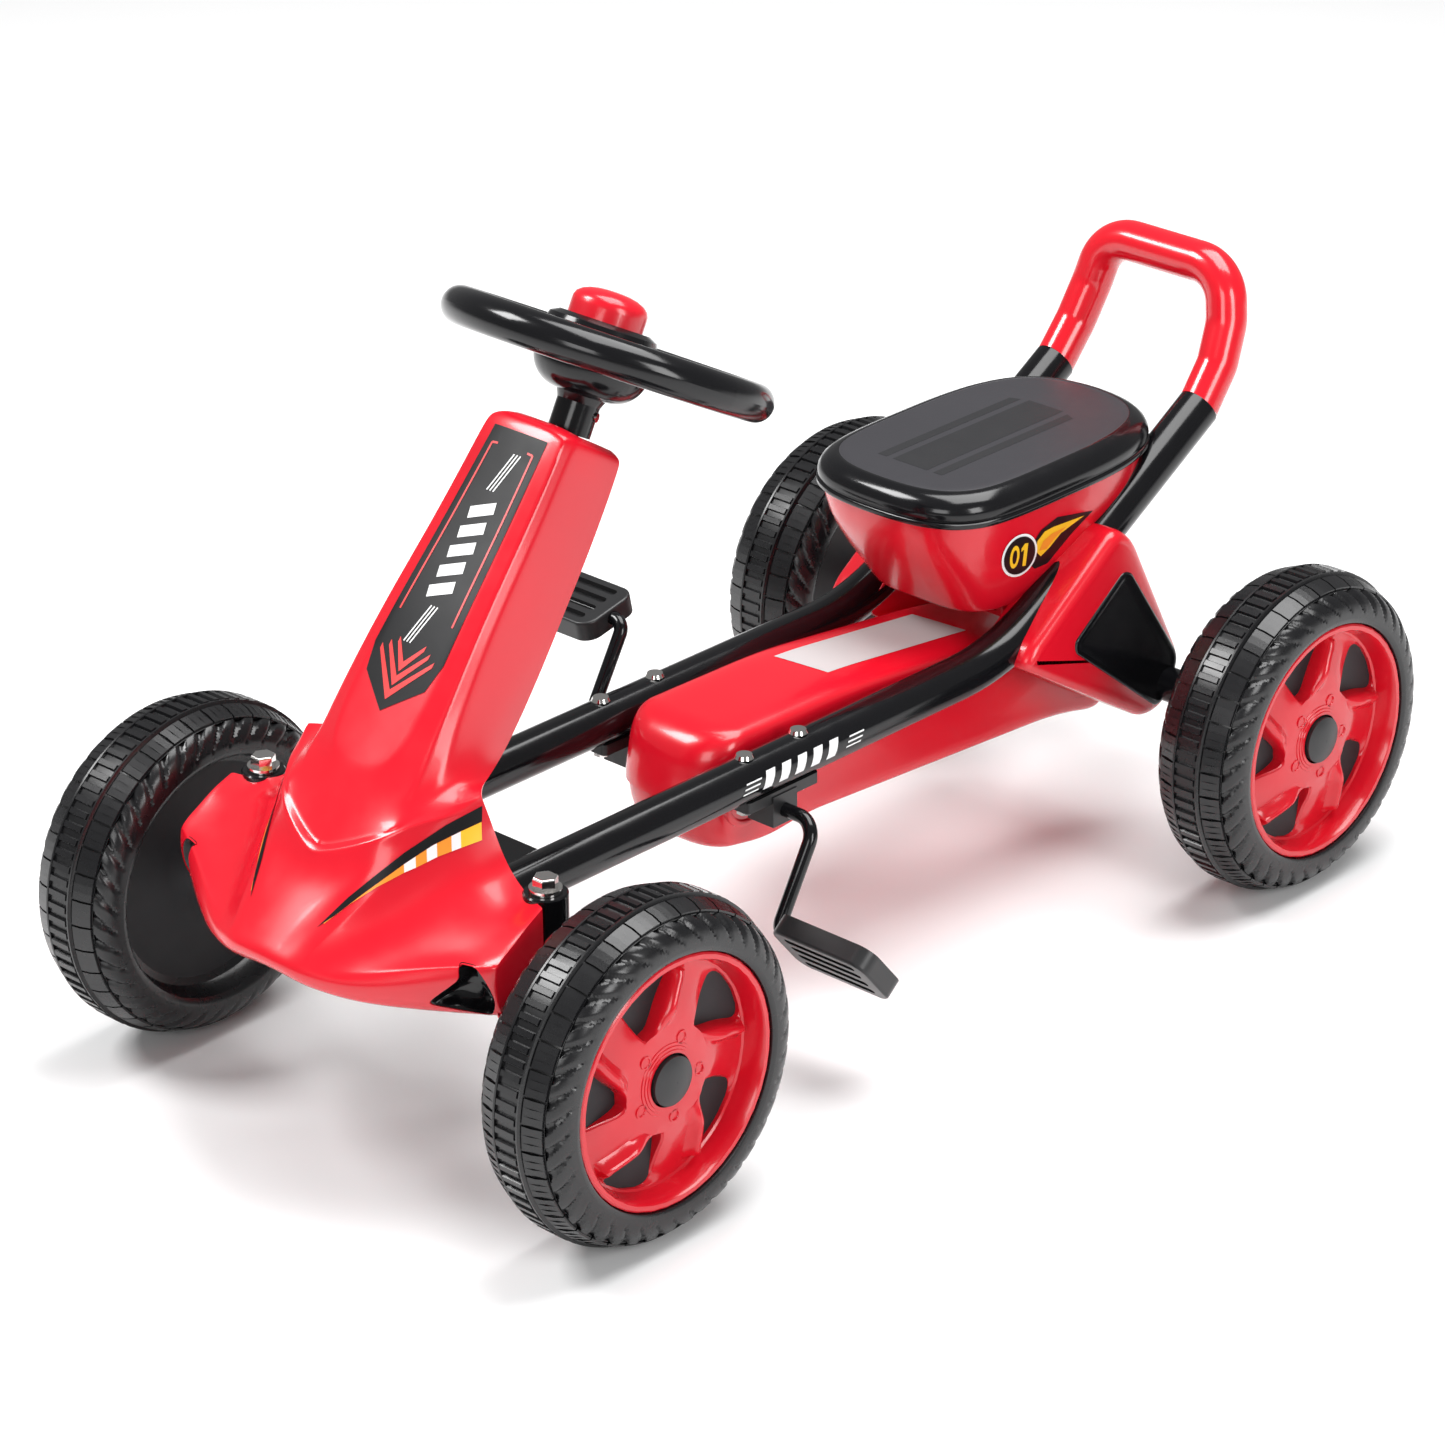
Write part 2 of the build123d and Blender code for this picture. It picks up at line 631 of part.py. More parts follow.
with BuildPart() as seat_lid:
    add(seat_outline(Plane.XY.offset(SEAT_RIM_Z), 0))
    extrude(amount=SEAT_LID_H)
    fillet(seat_lid.edges().group_by(Axis.Z)[-1], 11)
    with BuildSketch(Plane.XY.offset(SEAT_RIM_Z)):
        add(seat_outline(Plane.XY, 6))
    extrude(amount=SEAT_LID_H - 5, mode=Mode.SUBTRACT)
    add(cut_for_tubes(0.6), mode=Mode.SUBTRACT)
seat_lid.part = Part() + seat_lid.part.solids().sort_by(SortBy.VOLUME)[-1]
save(seat_lid, "seat_lid")

TUB_FLOOR_Z = 214.0
TUB_FRONT = 224.0
TUB_REAR = 336.0


def tub_solid(wall):
    """Tapered tub from a narrow floor up to just inside the lid's rim."""
    with BuildSketch(Plane.XY.offset(TUB_FLOOR_Z + wall)) as floor:
        with Locations((0, (TUB_FRONT + TUB_REAR) / 2)):
            RectangleRounded(108 - 2 * wall, TUB_REAR - TUB_FRONT - 2 * wall, 12)
    with BuildSketch(Plane.XY.offset(SEAT_RIM_Z - 0.1)) as rim:
        with Locations((0, 247)):
            RectangleRounded(158 - 2 * wall, 232 - 2 * wall, 26)
    with BuildPart() as tub:
        loft(sections=[floor.sketch.face(), rim.sketch.face()])
    return tub.part


with BuildPart() as seat_base:
    add(tub_solid(0))
    add(tub_solid(3), mode=Mode.SUBTRACT)
    add(cut_for_tubes(0.6), mode=Mode.SUBTRACT)
    with BuildSketch(Plane.XY.offset(TUB_FLOOR_Z - 2)):
        with Locations((22, 244), (-22, 244)):
            Circle(3)
    extrude(amount=8, mode=Mode.SUBTRACT)
seat_base.part = Part() + seat_base.part.solids().sort_by(SortBy.VOLUME)[-1]
save(seat_base, "seat_base")

SEAT_PLATE_T = 3.0
with BuildPart() as seat_cross_plate:
    with BuildSketch(Plane.XY.offset(TUB_FLOOR_Z - SEAT_PLATE_T)):
        with Locations((0, 244)):
            Rectangle(2 * TUBE_X, 36)
        with Locations((22, 244), (-22, 244)):
            Circle(3, mode=Mode.SUBTRACT)
    extrude(amount=SEAT_PLATE_T)
    add(cut_for_tubes(0), mode=Mode.SUBTRACT)
seat_cross_plate.part = Part() + seat_cross_plate.part.solids().sort_by(SortBy.VOLUME)[-1]
save(seat_cross_plate, "seat_cross_plate")

BRACKET_H = 17.0
with BuildPart() as seat_bracket:
    with BuildSketch(Plane.XY.offset(TUB_FLOOR_Z - SEAT_PLATE_T - BRACKET_H)):
        with Locations((0, 244)):
            RectangleRounded(78, 36, 4)
        with Locations((22, 244), (-22, 244)):
            Circle(3, mode=Mode.SUBTRACT)
    extrude(amount=BRACKET_H)
    with BuildSketch(Plane.XZ.offset(-(244 - 18 + 10))):
        with Locations((0, TUB_FLOOR_Z - SEAT_PLATE_T - BRACKET_H / 2)):
            with GridLocations(14, 1, 5, 1):
                RectangleRounded(8, 11, 2)
    extrude(amount=20, mode=Mode.SUBTRACT)
save(seat_bracket, "seat_bracket")

with BuildPart() as seat_bolts:
    for x in (-22, 22):
        bolt_foot = TUB_FLOOR_Z - SEAT_PLATE_T - BRACKET_H
        with BuildSketch(Plane.XY.offset(bolt_foot)):
            with Locations((x, 244)):
                Circle(3)
        extrude(amount=SEAT_PLATE_T + BRACKET_H + 3)
        with BuildSketch(Plane.XY.offset(bolt_foot - 3)):
            with Locations((x, 244)):
                RegularPolygon(5.5, 6)
        extrude(amount=3)
        with BuildSketch(Plane.XY.offset(TUB_FLOOR_Z + 3)):
            with Locations((x, 244)):
                RegularPolygon(5.5, 6)
        extrude(amount=4)
save(seat_bolts, "seat_bolts")

# ---- chain cover: two shells that meet on a sloping seam ----
LOBE_R = 42.0
SEAM_SLOPE = math.atan2(-17, 250)
SEAM_AT = Vector(0, 27.8, 145.5)
COVER_ROUND = 14.0


def cover_solid(inset):
    """The cover's outer shape, or its hollow when drawn in by `inset`."""
    half = COVER_HALF - inset
    with BuildPart() as cover:
        with BuildSketch(Plane.YZ.offset(-half)) as profile:
            Polygon(
                (-100, 158), (-84, 204), (55, 202), (216, 183), (REAR_Y, 162),
                (REAR_Y, 80), (285, 94), (13, 112), (-27, 110), (-80, 117), align=None,
            )
            fillet(profile.vertices().sort_by(Axis.X)[:3], 22)
            if inset:
                offset(amount=-inset, mode=Mode.REPLACE)
        extrude(amount=2 * half)
        rims = [e for e in cover.edges() if abs(abs((e @ 0.5).X) - half) < 0.1]
        fillet([e for e in rims if (e @ 0.5).Y < REAR_Y - 1], COVER_ROUND - inset)
        with BuildSketch(Plane.YZ.offset(-half)):
            with Locations((REAR_Y, AXLE_Z)):
                Circle(LOBE_R - inset)
        extrude(amount=2 * half)
    return cover.part


with BuildPart() as cover_shell:
    add(cover_solid(0))
    add(cover_solid(COVER_WALL), mode=Mode.SUBTRACT)
    for y, z, r in ((CRANK_Y, CRANK_Z, CRANK_ROD_R + 1.5), (REAR_Y, AXLE_Z, 13.4)):
        with BuildSketch(Plane.YZ):
            with Locations((y, z)):
                Circle(r)
        extrude(amount=80, both=True, mode=Mode.SUBTRACT)

SEAM = Plane(
    origin=SEAM_AT, x_dir=(1, 0, 0), z_dir=(0, -math.sin(SEAM_SLOPE), math.cos(SEAM_SLOPE))
)
for name, keep in (("chain_cover_top", Keep.TOP), ("chain_cover_bottom", Keep.BOTTOM)):
    with BuildPart() as cover_half:
        add(cover_shell.part)
        split(bisect_by=SEAM, keep=keep)
    cover_half.part = Part() + cover_half.part.solids().sort_by(SortBy.VOLUME)[-1]
    save(cover_half, name)

# ---- chain, chainring and rear sprocket ----
CHAIN_T = 6.0
CHAIN_W = 5.0


def pitch_radius(teeth):
    return CHAIN_PITCH / (2 * math.sin(math.pi / teeth))


RING_R = pitch_radius(RING_TEETH)
SPROCKET_R = pitch_radius(SPROCKET_TEETH)


def chain_outline(grow):
    """Belt-shaped outline round both toothed wheels, grown from the pitch line."""
    with BuildSketch(Plane.YZ.offset(CHAIN_X - CHAIN_W / 2)) as outline:
        with Locations((CRANK_Y, CRANK_Z)):
            Circle(RING_R + grow)
        with Locations((REAR_Y, AXLE_Z)):
            Circle(SPROCKET_R + grow)
        make_hull()
    return outline.sketch


with BuildPart() as chain:
    extrude(chain_outline(CHAIN_T / 2), amount=CHAIN_W)
    extrude(chain_outline(-CHAIN_T / 2), amount=CHAIN_W, mode=Mode.SUBTRACT)
save(chain, "chain")


def toothed_disc(y, z, teeth, bore):
    """Toothed wheel whose teeth stop just inside the chain's band."""
    tip = pitch_radius(teeth) - CHAIN_T / 2 - 0.5
    with BuildPart() as disc:
        with BuildSketch(Plane.YZ.offset(CHAIN_X - 1.5)):
            with Locations((y, z)):
                Circle(tip)
                with PolarLocations(tip + 1.2, teeth):
                    Circle(2.6, mode=Mode.SUBTRACT)
        extrude(amount=3)
        with BuildSketch(Plane.YZ.offset(CHAIN_X - 8)):
            with Locations((y, z)):
                Circle(11)
        extrude(amount=16)
        with BuildSketch(Plane.YZ.offset(CHAIN_X - 10)):
            with Locations((y, z)):
                Circle(bore)
        extrude(amount=20, mode=Mode.SUBTRACT)
    return disc


save(toothed_disc(CRANK_Y, CRANK_Z, RING_TEETH, CRANK_ROD_R), "chainring")
save(toothed_disc(REAR_Y, AXLE_Z, SPROCKET_TEETH, SPINDLE_R), "rear_sprocket")

# ---- pedal crank ----
arm = Vector(0, -math.sin(CRANK_LEAN), -math.cos(CRANK_LEAN)) * CRANK_ARM
crank_centre = Vector(0, CRANK_Y, CRANK_Z)
PIN_END = PEDAL_X[1] - 6.0

with BuildPart() as pedal_crank:
    with BuildLine() as crank_path:
        FilletPolyline(
            crank_centre + arm + Vector(PIN_END, 0, 0),
            crank_centre + arm + Vector(CRANK_ARM_X, 0, 0),
            crank_centre + Vector(CRANK_ARM_X, 0, 0),
            crank_centre - Vector(CRANK_ARM_X, 0, 0),
            crank_centre - arm - Vector(CRANK_ARM_X, 0, 0),
            crank_centre - arm - Vector(PIN_END, 0, 0),
            radius=[9, 16, 16, 9],
        )
    with BuildSketch(Plane(origin=crank_path.line @ 0, z_dir=crank_path.line % 0)):
        Circle(CRANK_ROD_R)
    sweep(path=crank_path.line)
save(pedal_crank, "pedal_crank")

PEDAL_W = 52.0
PEDAL_T = 15.0
PEDAL_TURN = {"left": 130.0, "right": 12.0}

for name, side in SIDES.items():
    centre = crank_centre + arm * side
    turn = math.radians(PEDAL_TURN[name])
    up = Vector(0, -math.sin(turn), math.cos(turn))
    mid_x = side * (PEDAL_X[0] + PEDAL_X[1]) / 2
    length = PEDAL_X[1] - PEDAL_X[0]
    deck = Plane(origin=(mid_x, centre.Y, centre.Z), x_dir=(1, 0, 0), z_dir=up)
    with BuildPart() as pedal:
        with BuildSketch(deck):
            RectangleRounded(length, PEDAL_W, 12)
        extrude(amount=PEDAL_T / 2, both=True)
        fillet(pedal.edges().filter_by(deck).group_by(Axis(deck.origin, up))[-1], 2)
        with BuildSketch(deck.offset(PEDAL_T / 2)):
            with GridLocations(0, 11, 1, 4):
                SlotOverall(length - 22, 6)
        extrude(amount=-4, mode=Mode.SUBTRACT)
        with BuildSketch(Plane.YZ.offset(side * (PEDAL_X[0] - 5))):
            with Locations((centre.Y, centre.Z)):
                Circle(CRANK_ROD_R + RUN_FIT)
        extrude(amount=side * (length + 0.5), mode=Mode.SUBTRACT)
    save(pedal, f"pedal_{name}")

# ---- crank bearing blocks under the side tubes ----
BLOCK_HALF_Y = 12.0
for name, side in SIDES.items():
    with BuildPart() as crank_block:
        with BuildSketch(Plane.XY.offset(TUBE_Z - TUBE_R - 5)):
            with Locations((side * TUBE_X, CRANK_Y)):
                RectangleRounded(24, 72, 4)
        extrude(amount=8)
        with BuildSketch(Plane.XY.offset(CRANK_Z - 10)):
            with Locations((side * (TUBE_X + 1), CRANK_Y)):
                Rectangle(24, 2 * BLOCK_HALF_Y)
        extrude(amount=TUBE_Z - TUBE_R - CRANK_Z + 10)
        add(tube_solid(side, TUBE_R), mode=Mode.SUBTRACT)
        with BuildSketch(Plane.YZ.offset(side * TUBE_X)):
            with Locations((CRANK_Y, CRANK_Z)):
                Circle(CRANK_ROD_R + RUN_FIT)
        extrude(amount=30, both=True, mode=Mode.SUBTRACT)
        with BuildSketch(Plane.XY.offset(TUBE_Z - TUBE_R - 10)):
            with Locations(*[(side * TUBE_X, y) for y in TUBE_SCREW_Y]):
                Circle(3)
        extrude(amount=20, mode=Mode.SUBTRACT)
    save(crank_block, f"crank_block_{name}")

SCREW_HEAD_Z = TUBE_Z + TUBE_R
SCREW_NUT_Z = TUBE_Z - TUBE_R - 5.0
with BuildPart() as crank_block_screws:
    for side in SIDES.values():
        for y in TUBE_SCREW_Y:
            with BuildSketch(Plane.XY.offset(SCREW_NUT_Z - 5)):
                with Locations((side * TUBE_X, y)):
                    Circle(3)
            extrude(amount=SCREW_HEAD_Z - SCREW_NUT_Z + 5)
            with BuildSketch(Plane.XY.offset(SCREW_HEAD_Z)):
                with Locations((side * TUBE_X, y)):
                    Circle(6.8)
            extrude(amount=2.6, taper=25)
            with BuildSketch(Plane.XY.offset(SCREW_NUT_Z - 5)):
                with Locations((side * TUBE_X, y)):
                    RegularPolygon(5.5, 6)
            extrude(amount=5)
save(crank_block_screws, "crank_block_screws")

# ---- rear axle, its brackets and sleeves ----
with BuildPart() as rear_axle:
    with BuildSketch(Plane.YZ.offset(-(REAR_TRACK_HALF + STUB_END))):
        with Locations((REAR_Y, AXLE_Z)):
            Circle(SPINDLE_R)
    extrude(amount=2 * (REAR_TRACK_HALF + STUB_END))
    for side in SIDES.values():
        with BuildSketch(face_plane(side * REAR_TRACK_HALF, REAR_Y, side, 20.4)):
            RegularPolygon(10, 6)
        extrude(amount=6)
save(rear_axle, "rear_axle")

AXLE_SLEEVE_R = 13.0
SLEEVE_INNER_X = 58.0
for name, side in SIDES.items():
    with BuildPart() as rear_bracket:
        with BuildSketch(Plane.YZ.offset(side * TUBE_X)):
            Polygon((236, 190), (286, 238), (298, 230), (350, 136), (340, 104), (326, 104), (312, 132), align=None)
            with Locations((REAR_Y, AXLE_Z)):
                Circle(AXLE_SLEEVE_R, mode=Mode.SUBTRACT)
        extrude(amount=2.5, both=True)
        add(tube_solid(side, TUBE_R), mode=Mode.SUBTRACT)
    rear_bracket.part = Part() + rear_bracket.part.solids().sort_by(Axis.Z)[0]
    save(rear_bracket, f"rear_bracket_{name}")

    with BuildPart() as axle_sleeve:
        with BuildSketch(Plane.YZ.offset(side * SLEEVE_INNER_X)):
            with Locations((REAR_Y, AXLE_Z)):
                Circle(AXLE_SLEEVE_R)
                Circle(SPINDLE_R + RUN_FIT, mode=Mode.SUBTRACT)
        extrude(amount=side * (REAR_TRACK_HALF + HUB_INNER - 0.5 - SLEEVE_INNER_X))
    save(axle_sleeve, f"axle_sleeve_{name}")


# ---- rear side covers with black panels ----
CHEEK_POINTS = [(284, 262), (304, 248), (364, 134), (344, 101), (322, 98), (184, 184), (192, 197)]
PANEL_POINTS = [(289, 227), (298, 224), (357, 138), (341, 109), (331, 106), (237, 180), (236, 189)]


def cheek_profile(plane, points, inset, corner):
    with BuildSketch(plane) as profile:
        Polygon(*points, align=None)
        fillet(profile.vertices(), corner)
        if inset:
            offset(amount=-inset, mode=Mode.REPLACE)
    return profile.sketch


for name, side in SIDES.items():
    outer_x = side * CHEEK_X[1]
    with BuildPart() as rear_cover:
        outside = cheek_profile(Plane.YZ.offset(side * CHEEK_X[0]), CHEEK_POINTS, 0, 6)
        extrude(outside, amount=side * (CHEEK_X[1] - CHEEK_X[0]))
        hollow = cheek_profile(Plane.YZ.offset(side * (CHEEK_X[0] - 1)), CHEEK_POINTS, 3, 6)
        extrude(hollow, amount=side * (CHEEK_X[1] - CHEEK_X[0] - 2.5), mode=Mode.SUBTRACT)
        add(tube_solid(side, TUBE_R + 0.6), mode=Mode.SUBTRACT)
        with BuildSketch(Plane.YZ.offset(side * (CHEEK_X[0] - 2))):
            Polygon((150, 186), (190, 190), (227, 209), (330, 268), (330, 330), (150, 330), align=None)
        extrude(amount=side * (TUBE_X + TUBE_R + 2.6 - CHEEK_X[0]), mode=Mode.SUBTRACT)
        add(tub_solid(-1), mode=Mode.SUBTRACT)
        recess = cheek_profile(Plane.YZ.offset(outer_x), PANEL_POINTS, 0, 3)
        extrude(recess, amount=-side * 1.5, mode=Mode.SUBTRACT)
        with BuildSketch(Plane.YZ.offset(side * CHEEK_X[0])):
            with Locations((REAR_Y, AXLE_Z)):
                Circle(AXLE_SLEEVE_R)
        extrude(amount=side * 60, mode=Mode.SUBTRACT)
    rear_cover.part = Part() + rear_cover.part.solids().sort_by(SortBy.VOLUME)[-1]
    save(rear_cover, f"rear_cover_{name}")

    with BuildPart() as rear_panel:
        extrude(cheek_profile(Plane.YZ.offset(outer_x - side * 1.5), PANEL_POINTS, 0.2, 3), amount=side * 2)
        with BuildSketch(Plane.YZ.offset(outer_x - side * 4)):
            with Locations((REAR_Y, AXLE_Z)):
                Circle(AXLE_SLEEVE_R)
        extrude(amount=side * 8, mode=Mode.SUBTRACT)
    rear_panel.part = Part() + rear_panel.part.solids().sort_by(SortBy.VOLUME)[-1]
    save(rear_panel, f"rear_panel_{name}")
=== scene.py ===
import json
import math

import bmesh
import bpy
from mathutils import Matrix, Vector
from mathutils.bvhtree import BVHTree


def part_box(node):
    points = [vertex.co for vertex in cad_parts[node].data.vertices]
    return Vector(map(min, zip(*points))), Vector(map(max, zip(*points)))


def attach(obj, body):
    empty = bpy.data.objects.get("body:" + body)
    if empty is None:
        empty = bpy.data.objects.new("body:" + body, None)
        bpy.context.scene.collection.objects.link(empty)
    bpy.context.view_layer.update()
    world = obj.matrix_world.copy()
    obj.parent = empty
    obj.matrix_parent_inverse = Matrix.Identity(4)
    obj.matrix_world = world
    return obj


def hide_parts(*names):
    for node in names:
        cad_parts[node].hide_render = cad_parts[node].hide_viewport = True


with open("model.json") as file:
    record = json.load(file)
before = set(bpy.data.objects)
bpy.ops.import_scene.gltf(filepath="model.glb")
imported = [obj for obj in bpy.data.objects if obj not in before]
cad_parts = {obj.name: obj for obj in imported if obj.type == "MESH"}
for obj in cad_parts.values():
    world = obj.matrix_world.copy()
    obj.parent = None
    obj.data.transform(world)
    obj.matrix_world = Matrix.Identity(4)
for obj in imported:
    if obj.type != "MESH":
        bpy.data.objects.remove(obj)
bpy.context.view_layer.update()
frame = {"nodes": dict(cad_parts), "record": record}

MM = 0.001
LEFT_RIGHT = (("left", 1), ("right", -1))


# ---- mesh helpers: every length below is in millimetres ----
def add(name, data):
    """A new object in the scene."""
    obj = bpy.data.objects.new(name, data)
    bpy.context.scene.collection.objects.link(obj)
    return obj


def piece(name, verts, faces, materials, body, sharp=35, indices=None, stands_for=()):
    """A named mesh that rides on a CAD body."""
    mesh = bpy.data.meshes.new(name)
    mesh.from_pydata([Vector(v) * MM for v in verts], [], faces)
    for m in materials:
        mesh.materials.append(m)
    if indices:
        mesh.polygons.foreach_set("material_index", indices)
    mesh.update()
    mesh.shade_smooth()
    mesh.set_sharp_from_angle(angle=math.radians(sharp))
    obj = add(name, mesh)
    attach(obj, body)
    if stands_for:
        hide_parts(*stands_for)
    return obj


class Builder:
    """Collects several shells into one mesh."""

    def __init__(self):
        self.verts = []
        self.faces = []
        self.indices = []

    def grid(self, rows, closed=False, material=0, flip=False):
        """Rows of points joined into quads; `closed` joins each row's end to its start."""
        base = len(self.verts)
        width = len(rows[0])
        for row in rows:
            self.verts.extend(row)
        steps = width if closed else width - 1
        for i in range(len(rows) - 1):
            for j in range(steps):
                a = base + i * width + j
                b = base + i * width + (j + 1) % width
                c = b + width
                d = a + width
                self.faces.append((a, b, c, d) if not flip else (d, c, b, a))
                self.indices.append(material)

    def cap(self, ring, material=0, flip=False):
        """One flat face over a ring of points."""
        base = len(self.verts)
        self.verts.extend(ring)
        order = list(range(base, base + len(ring)))
        self.faces.append(tuple(reversed(order)) if flip else tuple(order))
        self.indices.append(material)

    def block(self, low, high, material=0):
        """A lid and walls: `low` and `high` are matching rings of points."""
        base = len(self.verts)
        n = len(low)
        self.verts.extend(low)
        self.verts.extend(high)
        for j in range(n):
            k = (j + 1) % n
            self.faces.append((base + j, base + k, base + n + k, base + n + j))
            self.indices.append(material)
        self.faces.append(tuple(range(base + n, base + 2 * n)))
        self.indices.append(material)

    def tidy(self):
        """Merges doubles and makes the normals point outwards."""
        mesh = bpy.data.meshes.new("work")
        mesh.from_pydata([tuple(v) for v in self.verts], [], self.faces)
        bm = bmesh.new()
        bm.from_mesh(mesh)
        for face, index in zip(bm.faces, self.indices):
            face.material_index = index
        bmesh.ops.remove_doubles(bm, verts=bm.verts, dist=0.01)
        bmesh.ops.dissolve_degenerate(bm, edges=bm.edges, dist=0.001)
        bmesh.ops.recalc_face_normals(bm, faces=bm.faces)
        bm.verts.index_update()
        verts = [v.co.copy() for v in bm.verts]
        faces = [tuple(v.index for v in f.verts) for f in bm.faces]
        indices = [f.material_index for f in bm.faces]
        bm.free()
        bpy.data.meshes.remove(mesh)
        self.verts, self.faces, self.indices = verts, faces, indices

    def build(self, name, materials, body, sharp=35, stands_for=(), merge=True):
        """The collected shells as one named piece."""
        if merge:
            self.tidy()
        return piece(name, self.verts, self.faces, materials, body, sharp, self.indices, stands_for)


def smoothstep(x):
    """Eases from 0 to 1."""
    x = min(max(x, 0.0), 1.0)
    return x * x * (3 - 2 * x)


def spline(points, count, closed=False):
    """Points spread along a Catmull-Rom curve through `points`."""
    pts = [Vector(p) for p in points]
    n = len(pts)
    spans = n if closed else n - 1
    out = []
    for i in range(count):
        at = i * spans / count if closed else i * spans / (count - 1)
        k = min(int(at), spans - 1)
        t = at - k
        if closed:
            p0, p1, p2, p3 = (pts[(k + d) % n] for d in (-1, 0, 1, 2))
        else:
            p0, p1, p2, p3 = (pts[min(max(k + d, 0), n - 1)] for d in (-1, 0, 1, 2))
        out.append(0.5 * (2 * p1 + (p2 - p0) * t + (2 * p0 - 5 * p1 + 4 * p2 - p3) * t**2
                          + (3 * p1 - p0 - 3 * p2 + p3) * t**3))
    return out


def centre(node):
    """The middle of a CAD node's box, in mm."""
    lo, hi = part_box(node)
    return (lo + hi) / 2 / MM


# ---- materials ----
def new_material(name):
    material = bpy.data.materials.new(name)
    material.use_nodes = True
    nodes = material.node_tree.nodes
    return material, nodes, material.node_tree.links, nodes["Principled BSDF"]


def put(node, values):
    """Sets some of a shader node's inputs."""
    for socket, value in values.items():
        node.inputs[socket].default_value = value


def blend(nodes, links, factor, low, high):
    """A colour between two others."""
    mix = nodes.new("ShaderNodeMix")
    mix.data_type = "RGBA"
    put(mix, {"A": (*low, 1), "B": (*high, 1)})
    links.new(factor, mix.inputs["Factor"])
    return mix.outputs["Result"]


def moulded(name, color, rough=0.3, tone=0.06, grain=0.0, grain_scale=900.0, wave=0.02, coat=0.0, metal=0.0,
            specular=0.5, scuff=0.05):
    """Plastic or paint: slow colour drift, a slightly uneven surface, fine grain and patchy gloss."""
    material, nodes, links, shader = new_material(name)
    place = nodes.new("ShaderNodeTexCoord")

    def noise(scale, detail):
        node = nodes.new("ShaderNodeTexNoise")
        put(node, {"Scale": scale, "Detail": detail})
        links.new(place.outputs["Object"], node.inputs["Vector"])
        return node.outputs["Fac"]

    def bump(height, distance):
        node = nodes.new("ShaderNodeBump")
        put(node, {"Strength": 1.0, "Distance": distance * MM})
        links.new(height, node.inputs["Height"])
        return node

    dark = [c * (1 - tone) for c in color]
    light = [min(1.0, c * (1 + tone)) for c in color]
    links.new(blend(nodes, links, noise(14.0, 3.0), dark, light), shader.inputs["Base Color"])
    patch = noise(60.0, 6.0)
    gloss = nodes.new("ShaderNodeMapRange")
    put(gloss, {"From Min": 0.3, "From Max": 0.7, "To Min": rough, "To Max": rough + scuff})
    links.new(patch, gloss.inputs["Value"])
    links.new(gloss.outputs["Result"], shader.inputs["Roughness"])
    surface = bump(patch, wave)
    if grain:
        fine = bump(noise(grain_scale, 2.0), grain)
        links.new(surface.outputs["Normal"], fine.inputs["Normal"])
        surface = fine
    links.new(surface.outputs["Normal"], shader.inputs["Normal"])
    put(shader, {"Metallic": metal, "Specular IOR Level": specular, "Coat Weight": coat,
                 "Coat Roughness": 0.06})
    return material


RED = (0.68, 0.005, 0.018)
red_plastic = moulded("red_plastic", RED, rough=0.22, tone=0.05, wave=0.03, coat=0.25)
red_wheel = moulded("red_wheel_plastic", (0.60, 0.006, 0.017), rough=0.17, tone=0.05, wave=0.02, coat=0.2)
red_paint = moulded("red_paint", (0.68, 0.005, 0.016), rough=0.18, tone=0.03, wave=0.02, coat=0.5)
black_paint = moulded("black_paint", (0.004, 0.004, 0.005), rough=0.12, tone=0.2, wave=0.02, specular=0.42)
black_gloss = moulded("black_gloss_plastic", (0.005, 0.005, 0.006), rough=0.13, tone=0.2, wave=0.03,
                      specular=0.42)
seat_satin = moulded("seat_satin_plastic", (0.036, 0.035, 0.040), rough=0.36, tone=0.08, wave=0.02,
                     grain=0.008, specular=0.4)
black_matt = moulded("black_matt_plastic", (0.014, 0.014, 0.015), rough=0.36, tone=0.2, wave=0.02, grain=0.01)
tyre_black = moulded("wheel_plastic", (0.007, 0.007, 0.008), rough=0.25, tone=0.12, wave=0.03,
                     grain=0.006, specular=0.5)
disc_black = moulded("wheel_disc_plastic", (0.016, 0.016, 0.018), rough=0.48, tone=0.1, wave=0.02,
                     grain=0.01, specular=0.3)
chrome = moulded("bright_steel", (0.78, 0.76, 0.74), rough=0.10, tone=0.03, wave=0.01, metal=1.0)
dark_steel = moulded("chain_steel", (0.20, 0.19, 0.18), rough=0.35, tone=0.15, wave=0.01, metal=1.0)
decal_black = moulded("decal_black", (0.006, 0.006, 0.007), specular=0.22, rough=0.34, tone=0.05, wave=0.005)
decal_white = moulded("decal_white", (0.86, 0.86, 0.86), rough=0.30, tone=0.02, wave=0.005)
decal_orange = moulded("decal_orange", (0.86, 0.30, 0.025), rough=0.30, tone=0.03, wave=0.005)
decal_yellow = moulded("decal_yellow", (0.93, 0.55, 0.02), rough=0.30, tone=0.03, wave=0.005)
decal_red = moulded("decal_red", (0.75, 0.02, 0.02), rough=0.30, tone=0.03, wave=0.005)
label_grey = moulded("blank_label", (0.50, 0.47, 0.47), rough=0.4, tone=0.08, wave=0.01)
lid_print = moulded("lid_print", (0.016, 0.016, 0.018), rough=0.44, tone=0.05, wave=0.01)

by_slot = {
    "gloss_black_metal": black_paint,
    "red_metal": red_paint,
    "red_plastic": red_plastic,
    "black_gloss_plastic": black_gloss,
    "black_matte_plastic": black_matt,
    "wheel_plastic": tyre_black,
    "bright_steel": chrome,
    "chain_steel": dark_steel,
}
slot_of = {s["node"]: s["material_slot"] for s in frame["record"]["subparts"]}
for node, obj in frame["nodes"].items():
    for material_slot in obj.material_slots:
        material_slot.link = "OBJECT"
        material_slot.material = by_slot[slot_of[node]]

